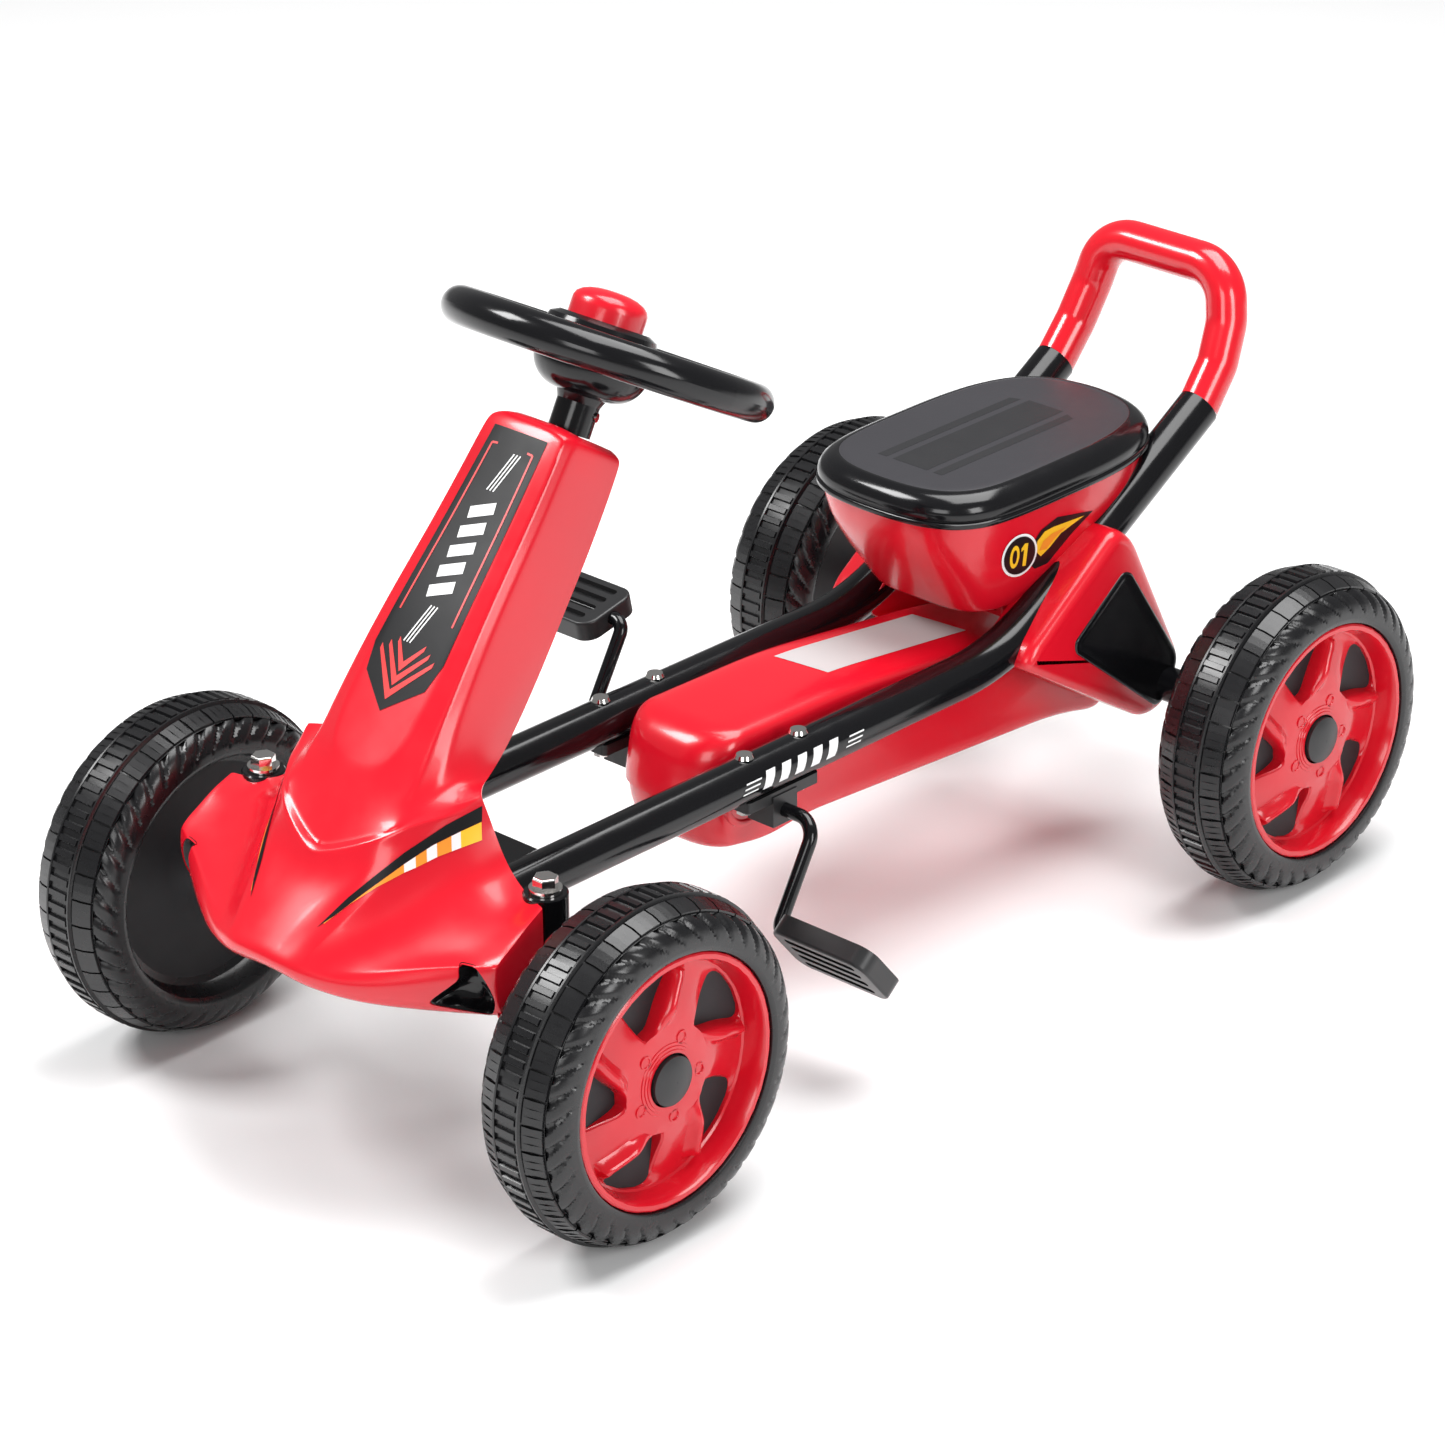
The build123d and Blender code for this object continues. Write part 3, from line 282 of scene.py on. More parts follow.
# ---- wheels ----
# the bars across the middle of the tread, with their foot and top measured from the axle
TREAD_BARS = 78
BAR_FOOT = 117.0
BAR_TOP = 119.9
BAR_REACH = 8.9
BAR_HALF = 0.31
# the blocks on each shoulder: where one starts and how much it fills, as parts of their pitch
SHOULDER_BLOCKS = 39
BLOCK_START = 0.04
BLOCK_SPAN = 0.92
BLOCK_DEPTH = 3
BLOCK_PARTS = 3
# the slanting cuts in the walls: the half width is a part of their pitch, and the end a part of the wall
SIDE_CUTS = 40
CUT_DEPTH = 2.3
CUT_HALF = 0.30
CUT_END = 0.86


def wheel_point(hub, side, t, r, degrees):
    """t outboard along the axle, r from the axle, the angle from the wheel's own front-to-back line."""
    a = math.radians(degrees)
    return Vector((hub.x + side * t, hub.y + side * r * math.cos(a), hub.z + r * math.sin(a)))


def revolve(builder, hub, side, profile, count=180, material=0, flip=False):
    """A profile of (t, r) points turned about the axle."""
    rows = [[wheel_point(hub, side, t, r, 360 * j / count) for j in range(count)] for t, r in profile]
    builder.grid(rows, closed=True, material=material, flip=flip)


def sidewall(builder, hub, side, way):
    """The wall from the shoulder to the rim, with slanting cuts that fade towards the rim."""
    line = spline([(27.6, 111.4, 0), (31.5, 108.6, 0), (34.8, 104.0, 0), (36.6, 98.0, 0), (36.8, 92.5, 0)],
                  13)
    steps = 12
    rows = []
    for i, p in enumerate(line):
        s = i / (len(line) - 1)
        row = []
        for j in range(SIDE_CUTS * steps):
            pitch = 360 / SIDE_CUTS
            angle = j * pitch / steps
            skew = 0.95 * s + 0.35 * s * s
            phase = (j / steps + skew) % 1.0
            half = CUT_HALF * max(0.0, 1 - s / CUT_END) ** 0.6
            off = abs(phase - 0.5)
            depth = 0.0
            if half > 0 and off < half:
                depth = CUT_DEPTH * (1 - s) ** 0.5 * smoothstep((half - off) / (half * 0.75))
            row.append(wheel_point(hub, side, way * (p.x - 0.55 * depth), p.y - 0.85 * depth, angle))
        rows.append(row)
    builder.grid(rows, closed=True, flip=way < 0)


def tyre(prefix, side, body):
    """Both shoulders with their blocks, the tread's bars, the walls and the hollow disc inside."""
    hub = centre(f"{prefix}_tyre")
    b = Builder()
    for way in (1, -1):
        sidewall(b, hub, side, way)
        shoulder = ((9.0, 117.4), (9.4, 119.4), (10.8, 119.5), (11.6, 116.4), (12.4, 115.4), (20, 113.9),
                    (26.5, 110.8), (27.6, 111.4))
        revolve(b, hub, side, [(way * t, r) for t, r in shoulder], flip=way < 0)
        for k in range(SHOULDER_BLOCKS):
            pitch = 360 / SHOULDER_BLOCKS
            ring = ((12.6, 117.3), (19.5, 116.0), (26.3, 113.0))
            for part in range(BLOCK_PARTS):
                a0 = (k + BLOCK_START + part * BLOCK_SPAN / BLOCK_PARTS) * pitch
                a1 = (k + BLOCK_START + (part + 1) * BLOCK_SPAN / BLOCK_PARTS) * pitch
                corners = [(t, r, a0) for t, r in ring] + [(t, r, a1) for t, r in reversed(ring)]
                top = [wheel_point(hub, side, way * t, r, a) for t, r, a in corners]
                low = [wheel_point(hub, side, way * t, r - BLOCK_DEPTH, a) for t, r, a in corners]
                b.block(low, top)
    revolve(b, hub, side, [(-9.2, 117.6), (0, 117.8), (9.2, 117.6)])
    for k in range(TREAD_BARS):
        pitch = 360 / TREAD_BARS
        mid = k * pitch
        low = []
        top = []
        for across, along in ((-1, -1), (1, -1), (1, 1), (-1, 1)):
            t = across * BAR_REACH
            da = along * BAR_HALF
            low.append(wheel_point(hub, side, t, BAR_FOOT, mid + da * pitch))
            top.append(wheel_point(hub, side, t * 0.93, BAR_TOP, mid + da * pitch * 0.66))
        b.block(low, top)
    revolve(b, hub, side, [(36.8, 92.5), (36.6, 90.2), (35.6, 88.6), (33, 88.0), (16, 87.5)])
    revolve(b, hub, side, [(16.0, 87.5), (16.0, 60), (16.0, 20)], material=1)
    revolve(b, hub, side, [(-36.8, 92.5), (-36.2, 90), (-34, 87.4), (-24, 85.6), (-20, 83), (-17.6, 78)],
            flip=True)
    revolve(b, hub, side, [(-17.6, 78), (-16.8, 74), (-16.4, 40), (-18, 30), (-25, 20), (-33, 18.4),
                           (-34, 17.4), (-34, 7)], material=1, flip=True)
    b.build(f"{prefix}_tyre_tread", [tyre_black, disc_black], body, sharp=28,
            stands_for=(f"{prefix}_tyre",), merge=False)


SPOKES = 5
SPOKE_PITCH = 360 / SPOKES
# the sunk windows between the spokes: in degrees, one side is swept and the other is nearly straight
WINDOW_R = (37.5, 77.5)
SWEPT_AT, SWEPT_BY = 31.0, 25.0
STRAIGHT_AT, STRAIGHT_BY = 50.0, 2.5
DISC_T = 15.0
# radii of the hub's steps and of the rolled rim
HUB_RADII = [18.4, 20.6, 20.9, 22.7, 23.0, 24.9, 25.2, 30, 34]
ROLL_RADII = [79.0, 80.0, 81.0, 82.2, 83.2, 86.2, 87.4, 88.0]
ROLL_START = 79
# the bead on each spoke's swept edge
BEAD_RISE = 8.0
BEAD_HALF = 5.4
# columns of points across a spoke, in mm from its two edges
FROM_STRAIGHT = [0.0, 0.5, 1.4, 3.0]
FROM_SWEPT = [0.0, 0.6, 1.6, 2.8, 4.2, 5.8, 7.4, 8.6, 10.0]
# a small raised ring at the foot of each spoke: radius and height
FOOT_RING = ((4.9, 26.6), (4.5, 28.0), (3.5, 28.0), (3.0, 26.9), (0.6, 26.7))
FOOT_RING_R = 28.6
FOOT_RING_TURN = 8


def rim_height(r, to_bead):
    """Outboard height of the spoke face; `to_bead` is how far the edge is that carries a bead."""
    profile = [
        (18.4, 29.4), (20.6, 29.4), (20.9, 28.7), (22.7, 28.7), (23.0, 28.0), (24.9, 28.0), (25.2, 27.3),
        (33, 27.0), (45, 25.0), (60, 21.5), (72, 18.8), (77.5, 18.6), (79.0, 19.6), (81.0, 27.0),
        (82.2, 33.4), (83.2, 35.0), (86.2, 35.1), (87.4, 34.4), (88, 32.5),
    ]
    h = profile[-1][1]
    for (r0, h0), (r1, h1) in zip(profile, profile[1:]):
        if r <= r1:
            h = h0 + (h1 - h0) * (r - r0) / (r1 - r0)
            break
    if r > ROLL_START:
        return h
    rise = BEAD_RISE * smoothstep((r - 34) / 18) * (1 - smoothstep((r - 72) / 5))
    x = (to_bead - BEAD_HALF) / BEAD_HALF
    return h + rise * max(0.0, 1 - x * x) ** 0.7 if abs(x) < 1 else h


def spoke_angles(start, end, per_mm):
    """Angles across a spoke, closer together at its edges."""
    head = [start + m * per_mm for m in FROM_STRAIGHT]
    tail = [end - m * per_mm for m in reversed(FROM_SWEPT)]
    gap = tail[0] - head[-1]
    return head + [head[-1] + gap * i / 7 for i in range(1, 7)] + tail


def rim(prefix, side, body):
    """The spoked face: in every ring, five sunk windows alternate with five spokes."""
    hub = centre(f"{prefix}_tyre")
    b = Builder()
    low, high = WINDOW_R
    window = [low + (high - low) * (1 - math.cos(math.pi * i / 18)) / 2 for i in range(19)]
    rows = []
    for r in HUB_RADII + window + ROLL_RADII:
        u = (2 * r - low - high) / (high - low)
        inside = abs(u) < 0.999
        open_by = max(0.02, (1 - min(1.0, abs(u)) ** 5) ** 0.25) if inside else 0.02
        s = min(max((r - low) / (high - low), 0.0), 1.0)
        swept = SWEPT_AT - SWEPT_BY * s ** 0.8
        straight = STRAIGHT_AT - STRAIGHT_BY * s
        mid = (swept + straight) / 2
        first = mid - (mid - swept) * open_by
        last = mid + (straight - mid) * open_by
        per_mm = 180 / (math.pi * r)
        row = []
        for k in range(SPOKES):
            for j in range(5):
                angle = first + (last - first) * (0.02 + 0.96 * j / 4)
                height = DISC_T - 1.0 if inside else rim_height(r, 99)
                row.append(wheel_point(hub, side, height, r, angle + SPOKE_PITCH * k))
            start = last
            end = first + SPOKE_PITCH
            for angle in spoke_angles(start, end, per_mm):
                from_start = (angle - start) / per_mm
                to_end = (end - angle) / per_mm
                height = rim_height(r, to_end)
                if inside:
                    height -= 1.6 * (1 - smoothstep(from_start / 1.8)) + 1.2 * (1 - smoothstep(to_end / 1.2))
                    height -= 2.0 * (1 - smoothstep(from_start / 12)) * smoothstep((r - 40) / 20)
                row.append(wheel_point(hub, side, height, r, angle + SPOKE_PITCH * k))
        rows.append(row)
    b.grid(rows, closed=True)
    for k in range(SPOKES):
        at = wheel_point(hub, side, 0, FOOT_RING_R, SPOKE_PITCH * k - FOOT_RING_TURN)
        rings = []
        for radius, height in FOOT_RING:
            rings.append([at + Vector((side * height, radius * math.cos(a), radius * math.sin(a) * side))
                          for a in (math.tau * i / 20 for i in range(20))])
        b.grid(rings, closed=True, flip=True)
    b.build(f"{prefix}_rim_face", [red_wheel], body, sharp=32, stands_for=(f"{prefix}_rim",),
            merge=False)


wheel_bodies = {
    "front_left": "front_left_wheel", "front_right": "front_right_wheel",
    "rear_left": "axle_and_driven_wheel", "rear_right": "rear_right_wheel",
}
for prefix, body in wheel_bodies.items():
    side = 1 if "left" in prefix else -1
    tyre(prefix, side, body)
    rim(prefix, side, body)

# ---- the camera's place, which some decals are aimed from ----
EYE = Vector((2330.209, -2507.330, 1792.090))

# ---- front cowl ----
# left half, columns from the middle outwards: the shroud, the hood down to the front, then the wing beside
# them and the nose below
COWL_WALL = 2.4
SHROUD = [
    [(0, -203.0, 466), (17, -202.4, 465.6), (26, -200.5, 463.5), (29.5, -194, 458),
     (29.5, -182, 451), (29, -165, 440)],
    [(0, -212.0, 469), (20, -211.6, 468.6), (33, -210, 466.5), (36.8, -202, 461),
     (37.4, -185, 449), (36.4, -163, 435)],
    [(0, -219.0, 461), (21.5, -218, 461), (35, -216.5, 459.5), (38.3, -209.5, 456),
     (38.6, -190, 443), (37.4, -167, 429)],
    [(0, -240.5, 435), (25, -239.6, 435), (36.8, -237, 433.5), (40.2, -229, 430),
     (40.5, -206, 417), (39.4, -182, 406)],
    [(0, -271.0, 400), (27, -270.0, 400), (39, -267, 398.5), (43, -258.5, 395),
     (43.4, -232, 382), (42.4, -207, 372)],
    [(0, -302.5, 366), (29.5, -301.1, 366), (42, -297.5, 364.5), (46, -288.5, 361),
     (47, -256, 349), (45, -226, 350)],
    [(0, -331.5, 332), (31.5, -329.6, 332), (45, -325, 330.5), (49.5, -315, 327),
     (51, -277, 314), (48, -246, 325)],
    [(0, -358.0, 300), (32.5, -355, 301), (47, -349, 299), (53, -338, 295), (56, -310, 284), (51, -284, 278)],
    [(0, -379.0, 276), (27, -372, 281), (48, -362, 280), (56, -350, 278), (62, -330, 273), (62, -316, 266)],
    [(0, -396.0, 252), (28, -387, 260), (49, -378, 266), (58, -364, 268), (66, -347, 270), (70, -330, 268)],
    [(0, -410.0, 231), (27, -402, 242), (50, -391, 253), (60, -374, 260), (72, -356, 265), (81.5, -341, 269)],
]
HOOD = [
    [(0, -416.0, 229), (26, -408.5, 238), (50, -396.5, 249), (61.5, -379, 257),
     (71.5, -366, 259), (77, -355, 260)],
    [(0, -423.0, 218), (24, -418, 221), (44, -406, 232), (56, -393, 241), (65, -379.5, 247), (71, -369, 249)],
    [(0, -435.0, 206), (20, -431, 208), (36, -423, 214), (46, -413, 220), (54, -405, 224), (59, -398, 226)],
    [(0, -448.0, 193), (15, -446, 194), (27, -441, 197), (35, -436, 200),
     (41, -432, 201.5), (46, -428, 202.5)],
    [(0, -460.0, 181), (10, -459.5, 181), (18, -458.5, 180.5), (25, -458, 180),
     (30, -457, 179.5), (34, -456, 179)],
]
WING = [
    [(81.5, -341, 269), (87, -338, 251), (96, -338, 232), (111, -341, 219),
     (130, -346, 214), (147, -353, 216)],
    [(77, -355, 260), (85, -350, 240), (96, -350, 224), (111, -353, 213),
     (130, -356, 209), (147.8, -361, 212.5)],
    [(71, -369, 249), (80, -365, 233), (93, -365, 219), (110, -368, 209),
     (130, -368, 205), (148.4, -369, 209)],
    [(59, -398, 226), (69, -393, 212), (84, -392, 203), (104, -390, 198),
     (128, -386, 197), (149, -382, 200.5)],
    [(46, -428, 202.5), (57, -424, 192), (74, -418, 187), (97, -409, 187),
     (124, -399, 190), (149.3, -392, 195)],
    [(34, -456, 179), (50, -451, 174.5), (70, -441, 175.5), (94, -427, 181),
     (122, -410, 187), (148.8, -397, 190.5)],
]
NOSE_X = (0, 10, 18, 25, 31, 37, 54, 74, 97, 124, 149.6)
NOSE = [
    (NOSE_X, (-466.6, -466.4, -466, -465.2, -464, -462.5, -456, -446, -432, -414, -399),
     (174.5, 174.3, 174, 173.4, 172.5, 171.5, 169, 168.5, 172, 177, 182)),
    (NOSE_X, (-464.5, -464.3, -463.8, -463, -461.8, -460, -453, -443, -429, -411, -396),
     (167.6, 167.4, 166.6, 165.4, 164, 162.4, 158.5, 156, 155.5, 156, 158)),
    ((0, 9, 17, 24, 30, 35, 52, 72, 94, 120, 145),
     (-455, -455, -454.5, -453.6, -452, -450, -442, -432, -418, -401, -387),
     (160.5, 160.2, 159.4, 158, 156.6, 155.4, 151.8, 150, 149.4, 149.2, 151)),
]


def cowl():
    """Shroud, hood, pointed wings, nose and wing ends, smoothed together but creased at the sharp lines."""
    nose = [HOOD[-1] + WING[-1][1:]]
    nose += [list(zip(*columns)) for columns in NOSE]
    edge = [row[-1] for row in reversed(WING)]
    drops = [edge]
    for level, (inset, to_z) in zip(nose[1:], ((-0.6, 178), (0.4, 160), (5.0, 152))):
        start = level[-1]
        row = [start]
        for k, top in enumerate(edge[1:], 1):
            row.append((top[0] - inset, top[1], start[2] + (to_z - start[2]) * min(1, k / 2)))
        drops.append(row)
    patches = [SHROUD + HOOD, WING, nose, drops]
    b = Builder()
    for s in (1, -1):
        for rows in patches:
            b.grid([[Vector((s * x, y, z)) for x, y, z in row] for row in rows])
    obj = b.build("front_cowl_skin", [red_plastic], "chassis", sharp=180,
                  stands_for=("front_cowl",))
    mesh = obj.data
    front = min(mesh.polygons, key=lambda p: p.center.y)
    if front.normal.y > 0:
        mesh.flip_normals()
    lines = [
        ([row[2] for row in SHROUD[1:-1]], 0.62),
        ([row[3] for row in SHROUD[1:-1]], 0.45),
        ([row[1] for row in SHROUD[2:8]], 0.5),
        (SHROUD[8][:2] + [SHROUD[7][1]], 0.6),
        (SHROUD[0], 0.9),
        ([row[-1] for row in SHROUD], 0.9),
        (SHROUD[-1], 0.95),
        (HOOD[0], 0.85),
        ([row[0] for row in WING], 0.72),
        (WING[0], 0.95),
        (edge, 0.72),
        (nose[0][6:], 0.55),
        (nose[-1], 0.9),
        (drops[-1], 0.9),
        ([row[-1] for row in nose], 0.6),
        ([row[-1] for row in drops], 0.95),
    ]
    wanted = {}

    def key(p, s):
        return (round(s * p[0], 1), round(p[1], 1), round(p[2], 1))

    for line, value in lines:
        for p, q in zip(line, line[1:]):
            for s in (1, -1):
                wanted[frozenset((key(p, s), key(q, s)))] = value
    crease = mesh.attributes.new("crease_edge", "FLOAT", "EDGE")
    for e in mesh.edges:
        ends = [mesh.vertices[v].co / MM for v in e.vertices]
        crease.data[e.index].value = wanted.get(frozenset(key(p, 1) for p in ends), 0.0)
    corners = {SHROUD[-1][0]: 0.75, SHROUD[-1][2]: 0.5, HOOD[0][0]: 0.7, SHROUD[-1][-1]: 0.8,
               WING[0][-1]: 0.75, WING[-1][-1]: 0.75, HOOD[-1][-1]: 0.4}
    points = {key(p, s): value for p, value in corners.items() for s in (1, -1)}
    tips = mesh.attributes.new("crease_vert", "FLOAT", "POINT")
    for v in mesh.vertices:
        tips.data[v.index].value = points.get(key(v.co / MM, 1), 0.0)
    sub = obj.modifiers.new("subdivision", "SUBSURF")
    sub.levels = sub.render_levels = 3
    wall = obj.modifiers.new("wall", "SOLIDIFY")
    wall.thickness = COWL_WALL * MM
    wall.offset = -1
    return obj


def bake(obj):
    """Applies an object's modifiers to its mesh."""
    bpy.context.view_layer.update()
    graph = bpy.context.evaluated_depsgraph_get()
    mesh = bpy.data.meshes.new_from_object(obj.evaluated_get(graph))
    obj.modifiers.clear()
    obj.data = mesh


def tree_of(*objects):
    """Each object as a tree that rays can be cast at."""
    bpy.context.view_layer.update()
    graph = bpy.context.evaluated_depsgraph_get()
    return [BVHTree.FromObject(o, graph) for o in objects]


def drop(trees, start, direction):
    """The first point that a ray meets, in mm, with the normal that faces the ray."""
    best = None
    for tree in trees:
        hit, normal, _, distance = tree.ray_cast(start * MM, direction)
        if hit is not None and (best is None or distance < best[2]):
            best = (hit, normal, distance)
    if best is None:
        return None
    normal = best[1] if best[1].dot(direction) < 0 else -best[1]
    return best[0] / MM, normal, best[2] / MM


def mirrored(obj, name):
    """A copy on the other side of the middle plane."""
    mesh = obj.data.copy()
    for v in mesh.vertices:
        v.co.x = -v.co.x
    mesh.flip_normals()
    return add(name, mesh)


cowl_skin = cowl()
solid_trees = tree_of(cowl_skin)

# ---- vents: an opening through the nose at each end, with a black scoop behind it ----
VENT = [(90, 145), (100, 156), (110, 165), (116.5, 172), (117, 178), (119, 183.5), (126, 185.5), (133, 186),
        (139, 182), (146, 175), (150, 168), (149, 161), (145, 157), (130, 153), (110, 148.5)]
VENT_Y = -400
VENT_CUT = (-14, 12)
VENT_FLOOR = (0.2, 14.2)


def vent_ring():
    """The left opening's outline, laid on the cowl from the camera's place."""
    outline = spline([(x, z, 0) for x, z in VENT], 60, closed=True)
    rim = []
    for p in outline:
        point = Vector((p.x, VENT_Y, p.y))
        direction = (point - EYE).normalized()
        found = drop(solid_trees, EYE + direction * 2000, direction)
        rim.append(found[0] if found else point)
    return rim


vent_rim = vent_ring()
vent_middle = sum(vent_rim, Vector()) / len(vent_rim)
INTO = Vector((-0.22, 0.96, 0.05))


def vent_level(scale, depth, s):
    """The opening's outline, scaled and moved into the nose, on either side."""
    ring = [vent_middle + (p - vent_middle) * scale + INTO * depth for p in vent_rim]
    return [Vector((s * p.x, p.y, p.z)) for p in ring]


for tag, s in LEFT_RIGHT:
    cut = Builder()
    ends = [vent_level(1.0, depth, s) for depth in VENT_CUT]
    cut.grid(ends, closed=True)
    for end in ends:
        cut.cap(end)
    cut.tidy()
    mesh = bpy.data.meshes.new("cutter")
    mesh.from_pydata([v * MM for v in cut.verts], [], cut.faces)
    cutter = add("cutter", mesh)
    boolean = cowl_skin.modifiers.new("vent", "BOOLEAN")
    boolean.object = cutter
    boolean.operation = "DIFFERENCE"
    boolean.solver = "MANIFOLD"
    bake(cowl_skin)
    bpy.data.objects.remove(cutter)
    scoop = Builder()
    levels = [(1.06, 1.2), (1.0, 1.0), (0.94, 2.6), (0.88, 6.0), (0.80, 10.5), (0.66, 13.6), (0.45, 14.6),
              VENT_FLOOR]
    scoop.grid([vent_level(a, d, s) for a, d in levels], closed=True, flip=s > 0)
    scoop.cap(vent_level(*VENT_FLOOR, s), flip=s > 0)
    scoop.build(f"vent_scoop_{tag}", [black_gloss], "chassis", sharp=60,
                stands_for=(f"vent_insert_{tag}",))
cowl_skin.data.shade_smooth()
cowl_skin.data.set_sharp_from_angle(angle=math.radians(38))
trees = tree_of(cowl_skin)


# ---- decals: thin skins laid on a surface ----
RAY_START = 200


def lay(name, outline, place, way, trees, material, lift=0.35, cell=5.0, twin="", swap=False,
        body="chassis"):
    """Cuts `outline` (2-D) into cells, puts each corner through `place`, and drops it along `way`.

    Without a `way` it is dropped along the line from the camera's place. `twin` names a copy on the other
    side, and `swap` moves the decal itself to the other side.
    """
    bm = bmesh.new()
    verts = [bm.verts.new((p[0], p[1], 0)) for p in outline]
    bm.faces.new(verts)
    xs = [p[0] for p in outline]
    ys = [p[1] for p in outline]
    for axis, values in ((0, xs), (1, ys)):
        at = math.floor(min(values) / cell) * cell + cell
        while at < max(values):
            normal = Vector((1, 0, 0)) if axis == 0 else Vector((0, 1, 0))
            geometry = bm.verts[:] + bm.edges[:] + bm.faces[:]
            bmesh.ops.bisect_plane(bm, geom=geometry, plane_co=normal * at, plane_no=normal,
                                   dist=0.001)
            at += cell
    bmesh.ops.triangulate(bm, faces=[f for f in bm.faces if len(f.verts) > 4])
    bm.verts.index_update()
    rays = []
    for v in bm.verts:
        point = Vector(place(v.co.x, v.co.y))
        direction = Vector(way).normalized() if way else (point - EYE).normalized()
        rays.append((point - direction * RAY_START, direction))
    hits = [drop(trees, start, direction) for start, direction in rays]
    far = [h[2] for h in hits if h]
    typical = sum(far) / len(far)
    out = []
    for hit, (start, direction) in zip(hits, rays):
        if hit is None:
            near, normal, _, _ = trees[0].find_nearest((start + direction * typical) * MM)
            hit = (near / MM, normal if normal.dot(direction) < 0 else -normal)
        out.append(hit[0] + hit[1] * lift)
    faces = [tuple(v.index for v in f.verts) for f in bm.faces]
    bm.free()
    obj = piece(name, out, faces, [material], body, sharp=60)
    average = sum((p.normal for p in obj.data.polygons), Vector())
    if average.dot(rays[0][1]) > 0:
        obj.data.flip_normals()
    if swap:
        for v in obj.data.vertices:
            v.co.x = -v.co.x
        obj.data.flip_normals()
    if twin:
        other = mirrored(obj, twin)
        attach(other, body)


def bar(x0, s0, x1, s1, width):
    """The outline of a straight line of some width."""
    a = Vector((x0, s0))
    b = Vector((x1, s1))
    n = Vector((-(b - a).y, (b - a).x)).normalized() * width / 2
    return [tuple(a + n), tuple(b + n), tuple(b - n), tuple(a - n)]


# square to the shroud's front face
FRONT_WAY = (0, 0.76, -0.65)


def front_place(x, s):
    """x across, s down the shroud's front face from its top edge."""
    return (x, -213 - 0.65 * s, 468 - 0.76 * s)


def on_front(name, outline, material, lift=0.6, twin=""):
    lay(name, outline, front_place, FRONT_WAY, trees, material, lift, twin=twin)


# the badge down the shroud's front: a dark field with lines, chevrons, thin stripes and a column of blocks
on_front("cowl_badge_field", [(-24, 9), (24, 9), (31.5, 170), (27, 190), (0, 212), (-27, 190), (-31.5, 170)],
         decal_black, lift=0.35)
for part, line in (("line", (18.5, 21, 24.0, 145)), ("top", (18.5, 21, 13.5, 20.6))):
    on_front(f"cowl_badge_{part}_left", bar(*line, 1.5), decal_red, twin=f"cowl_badge_{part}_right")
for k, (tip, reach, rise) in enumerate(((204, 24, 30), (194, 18, 24), (184, 12, 18))):
    chevron = [(0, tip), (reach, tip - rise), (reach, tip - rise - 4), (0, tip - 7)]
    on_front(f"cowl_badge_chevron_{k}_left", chevron, decal_red, twin=f"cowl_badge_chevron_{k}_right")
for k in range(3):
    for part, x0, s0 in (("top", -4, 52), ("low", -8, 164)):
        stripe = bar(x0 + 2.8 * k, s0, x0 + 8 + 2.8 * k, s0 - 28, 1.1)
        on_front(f"cowl_badge_stripe_{part}_{k}", stripe, decal_white)
for k in range(5):
    top = 60 + 14.5 * k
    block = [(-8, top + 14), (11, top + 6), (9, top - 2), (-10, top + 6)]
    on_front(f"cowl_badge_block_{k}", block, decal_white)

# the wedge of stripes over each wing, drawn as lines of (x, z): its top edge, the black stripe's lower edge
# and the coloured stripe's lower edge
WING_PRINT_Y = -400
WEDGE_TOP = [(-15, 163), (16.5, 196), (44, 222), (71, 247), (110.5, 280), (143, 304)]
WEDGE_MID = [(-15, 163), (5, 180), (30, 203), (70.6, 239), (97, 261), (123, 279.6), (142.5, 293)]
WEDGE_LOW = [(-13, 163.5), (16, 190), (43.5, 212.6), (70, 232.3), (81, 239.6), (102, 254.7), (122.6, 267.7),
             (144, 281)]


def wing_place(x, z):
    return (x, WING_PRINT_Y, z)


def height_on(line, x):
    """The height of a line of (x, z) points at x."""
    for (x0, z0), (x1, z1) in zip(line, line[1:]):
        if x <= x1:
            return z0 + (z1 - z0) * (x - x0) / (x1 - x0)
    return line[-1][1]


lay("wing_stripe_black_left", WEDGE_TOP + WEDGE_MID[:0:-1], wing_place, None, trees, decal_black,
    cell=4, twin="wing_stripe_black_right")
cuts = [-8, 70, 81, 91.5, 101, 114.5, 123, 142]
shades = [decal_orange, decal_white, decal_orange, decal_white, decal_orange, decal_white, decal_yellow]
for k, (x0, x1) in enumerate(zip(cuts, cuts[1:])):
    steps = [x0 + (x1 - x0) * i / 6 for i in range(7)]
    outline = [(x, height_on(WEDGE_MID, x) - 0.2) for x in steps]
    outline += [(x, height_on(WEDGE_LOW, x)) for x in reversed(steps)]
    lay(f"wing_stripe_{k}_left", outline, wing_place, None, trees, shades[k], cell=4,
        twin=f"wing_stripe_{k}_right")

# ---- horn button: a dome over the steering wheel's hub ----
COLUMN_TILT = math.radians(28)
COLUMN_UP = Vector((0, math.sin(COLUMN_TILT), math.cos(COLUMN_TILT)))
COLUMN_BACK = Vector((0, math.cos(COLUMN_TILT), -math.sin(COLUMN_TILT)))
WHEEL_HUB = Vector((0, -148, 498))
# height above the hub and radius, from the skirt to the middle of the dome
HORN_DOME = [(14, 20), (14, 25.9), (27, 26), (30.5, 25.8), (33.6, 24.4), (36.2, 21.2), (38.2, 16.5),
             (39.4, 11), (39.9, 5.5), (40, 1)]


def about_column(height, radius, count=72):
    """A ring square to the steering column."""
    return [WHEEL_HUB + COLUMN_UP * height + Vector((1, 0, 0)) * radius * math.cos(a)
            + COLUMN_BACK * radius * math.sin(a) for a in (math.tau * i / count for i in range(count))]


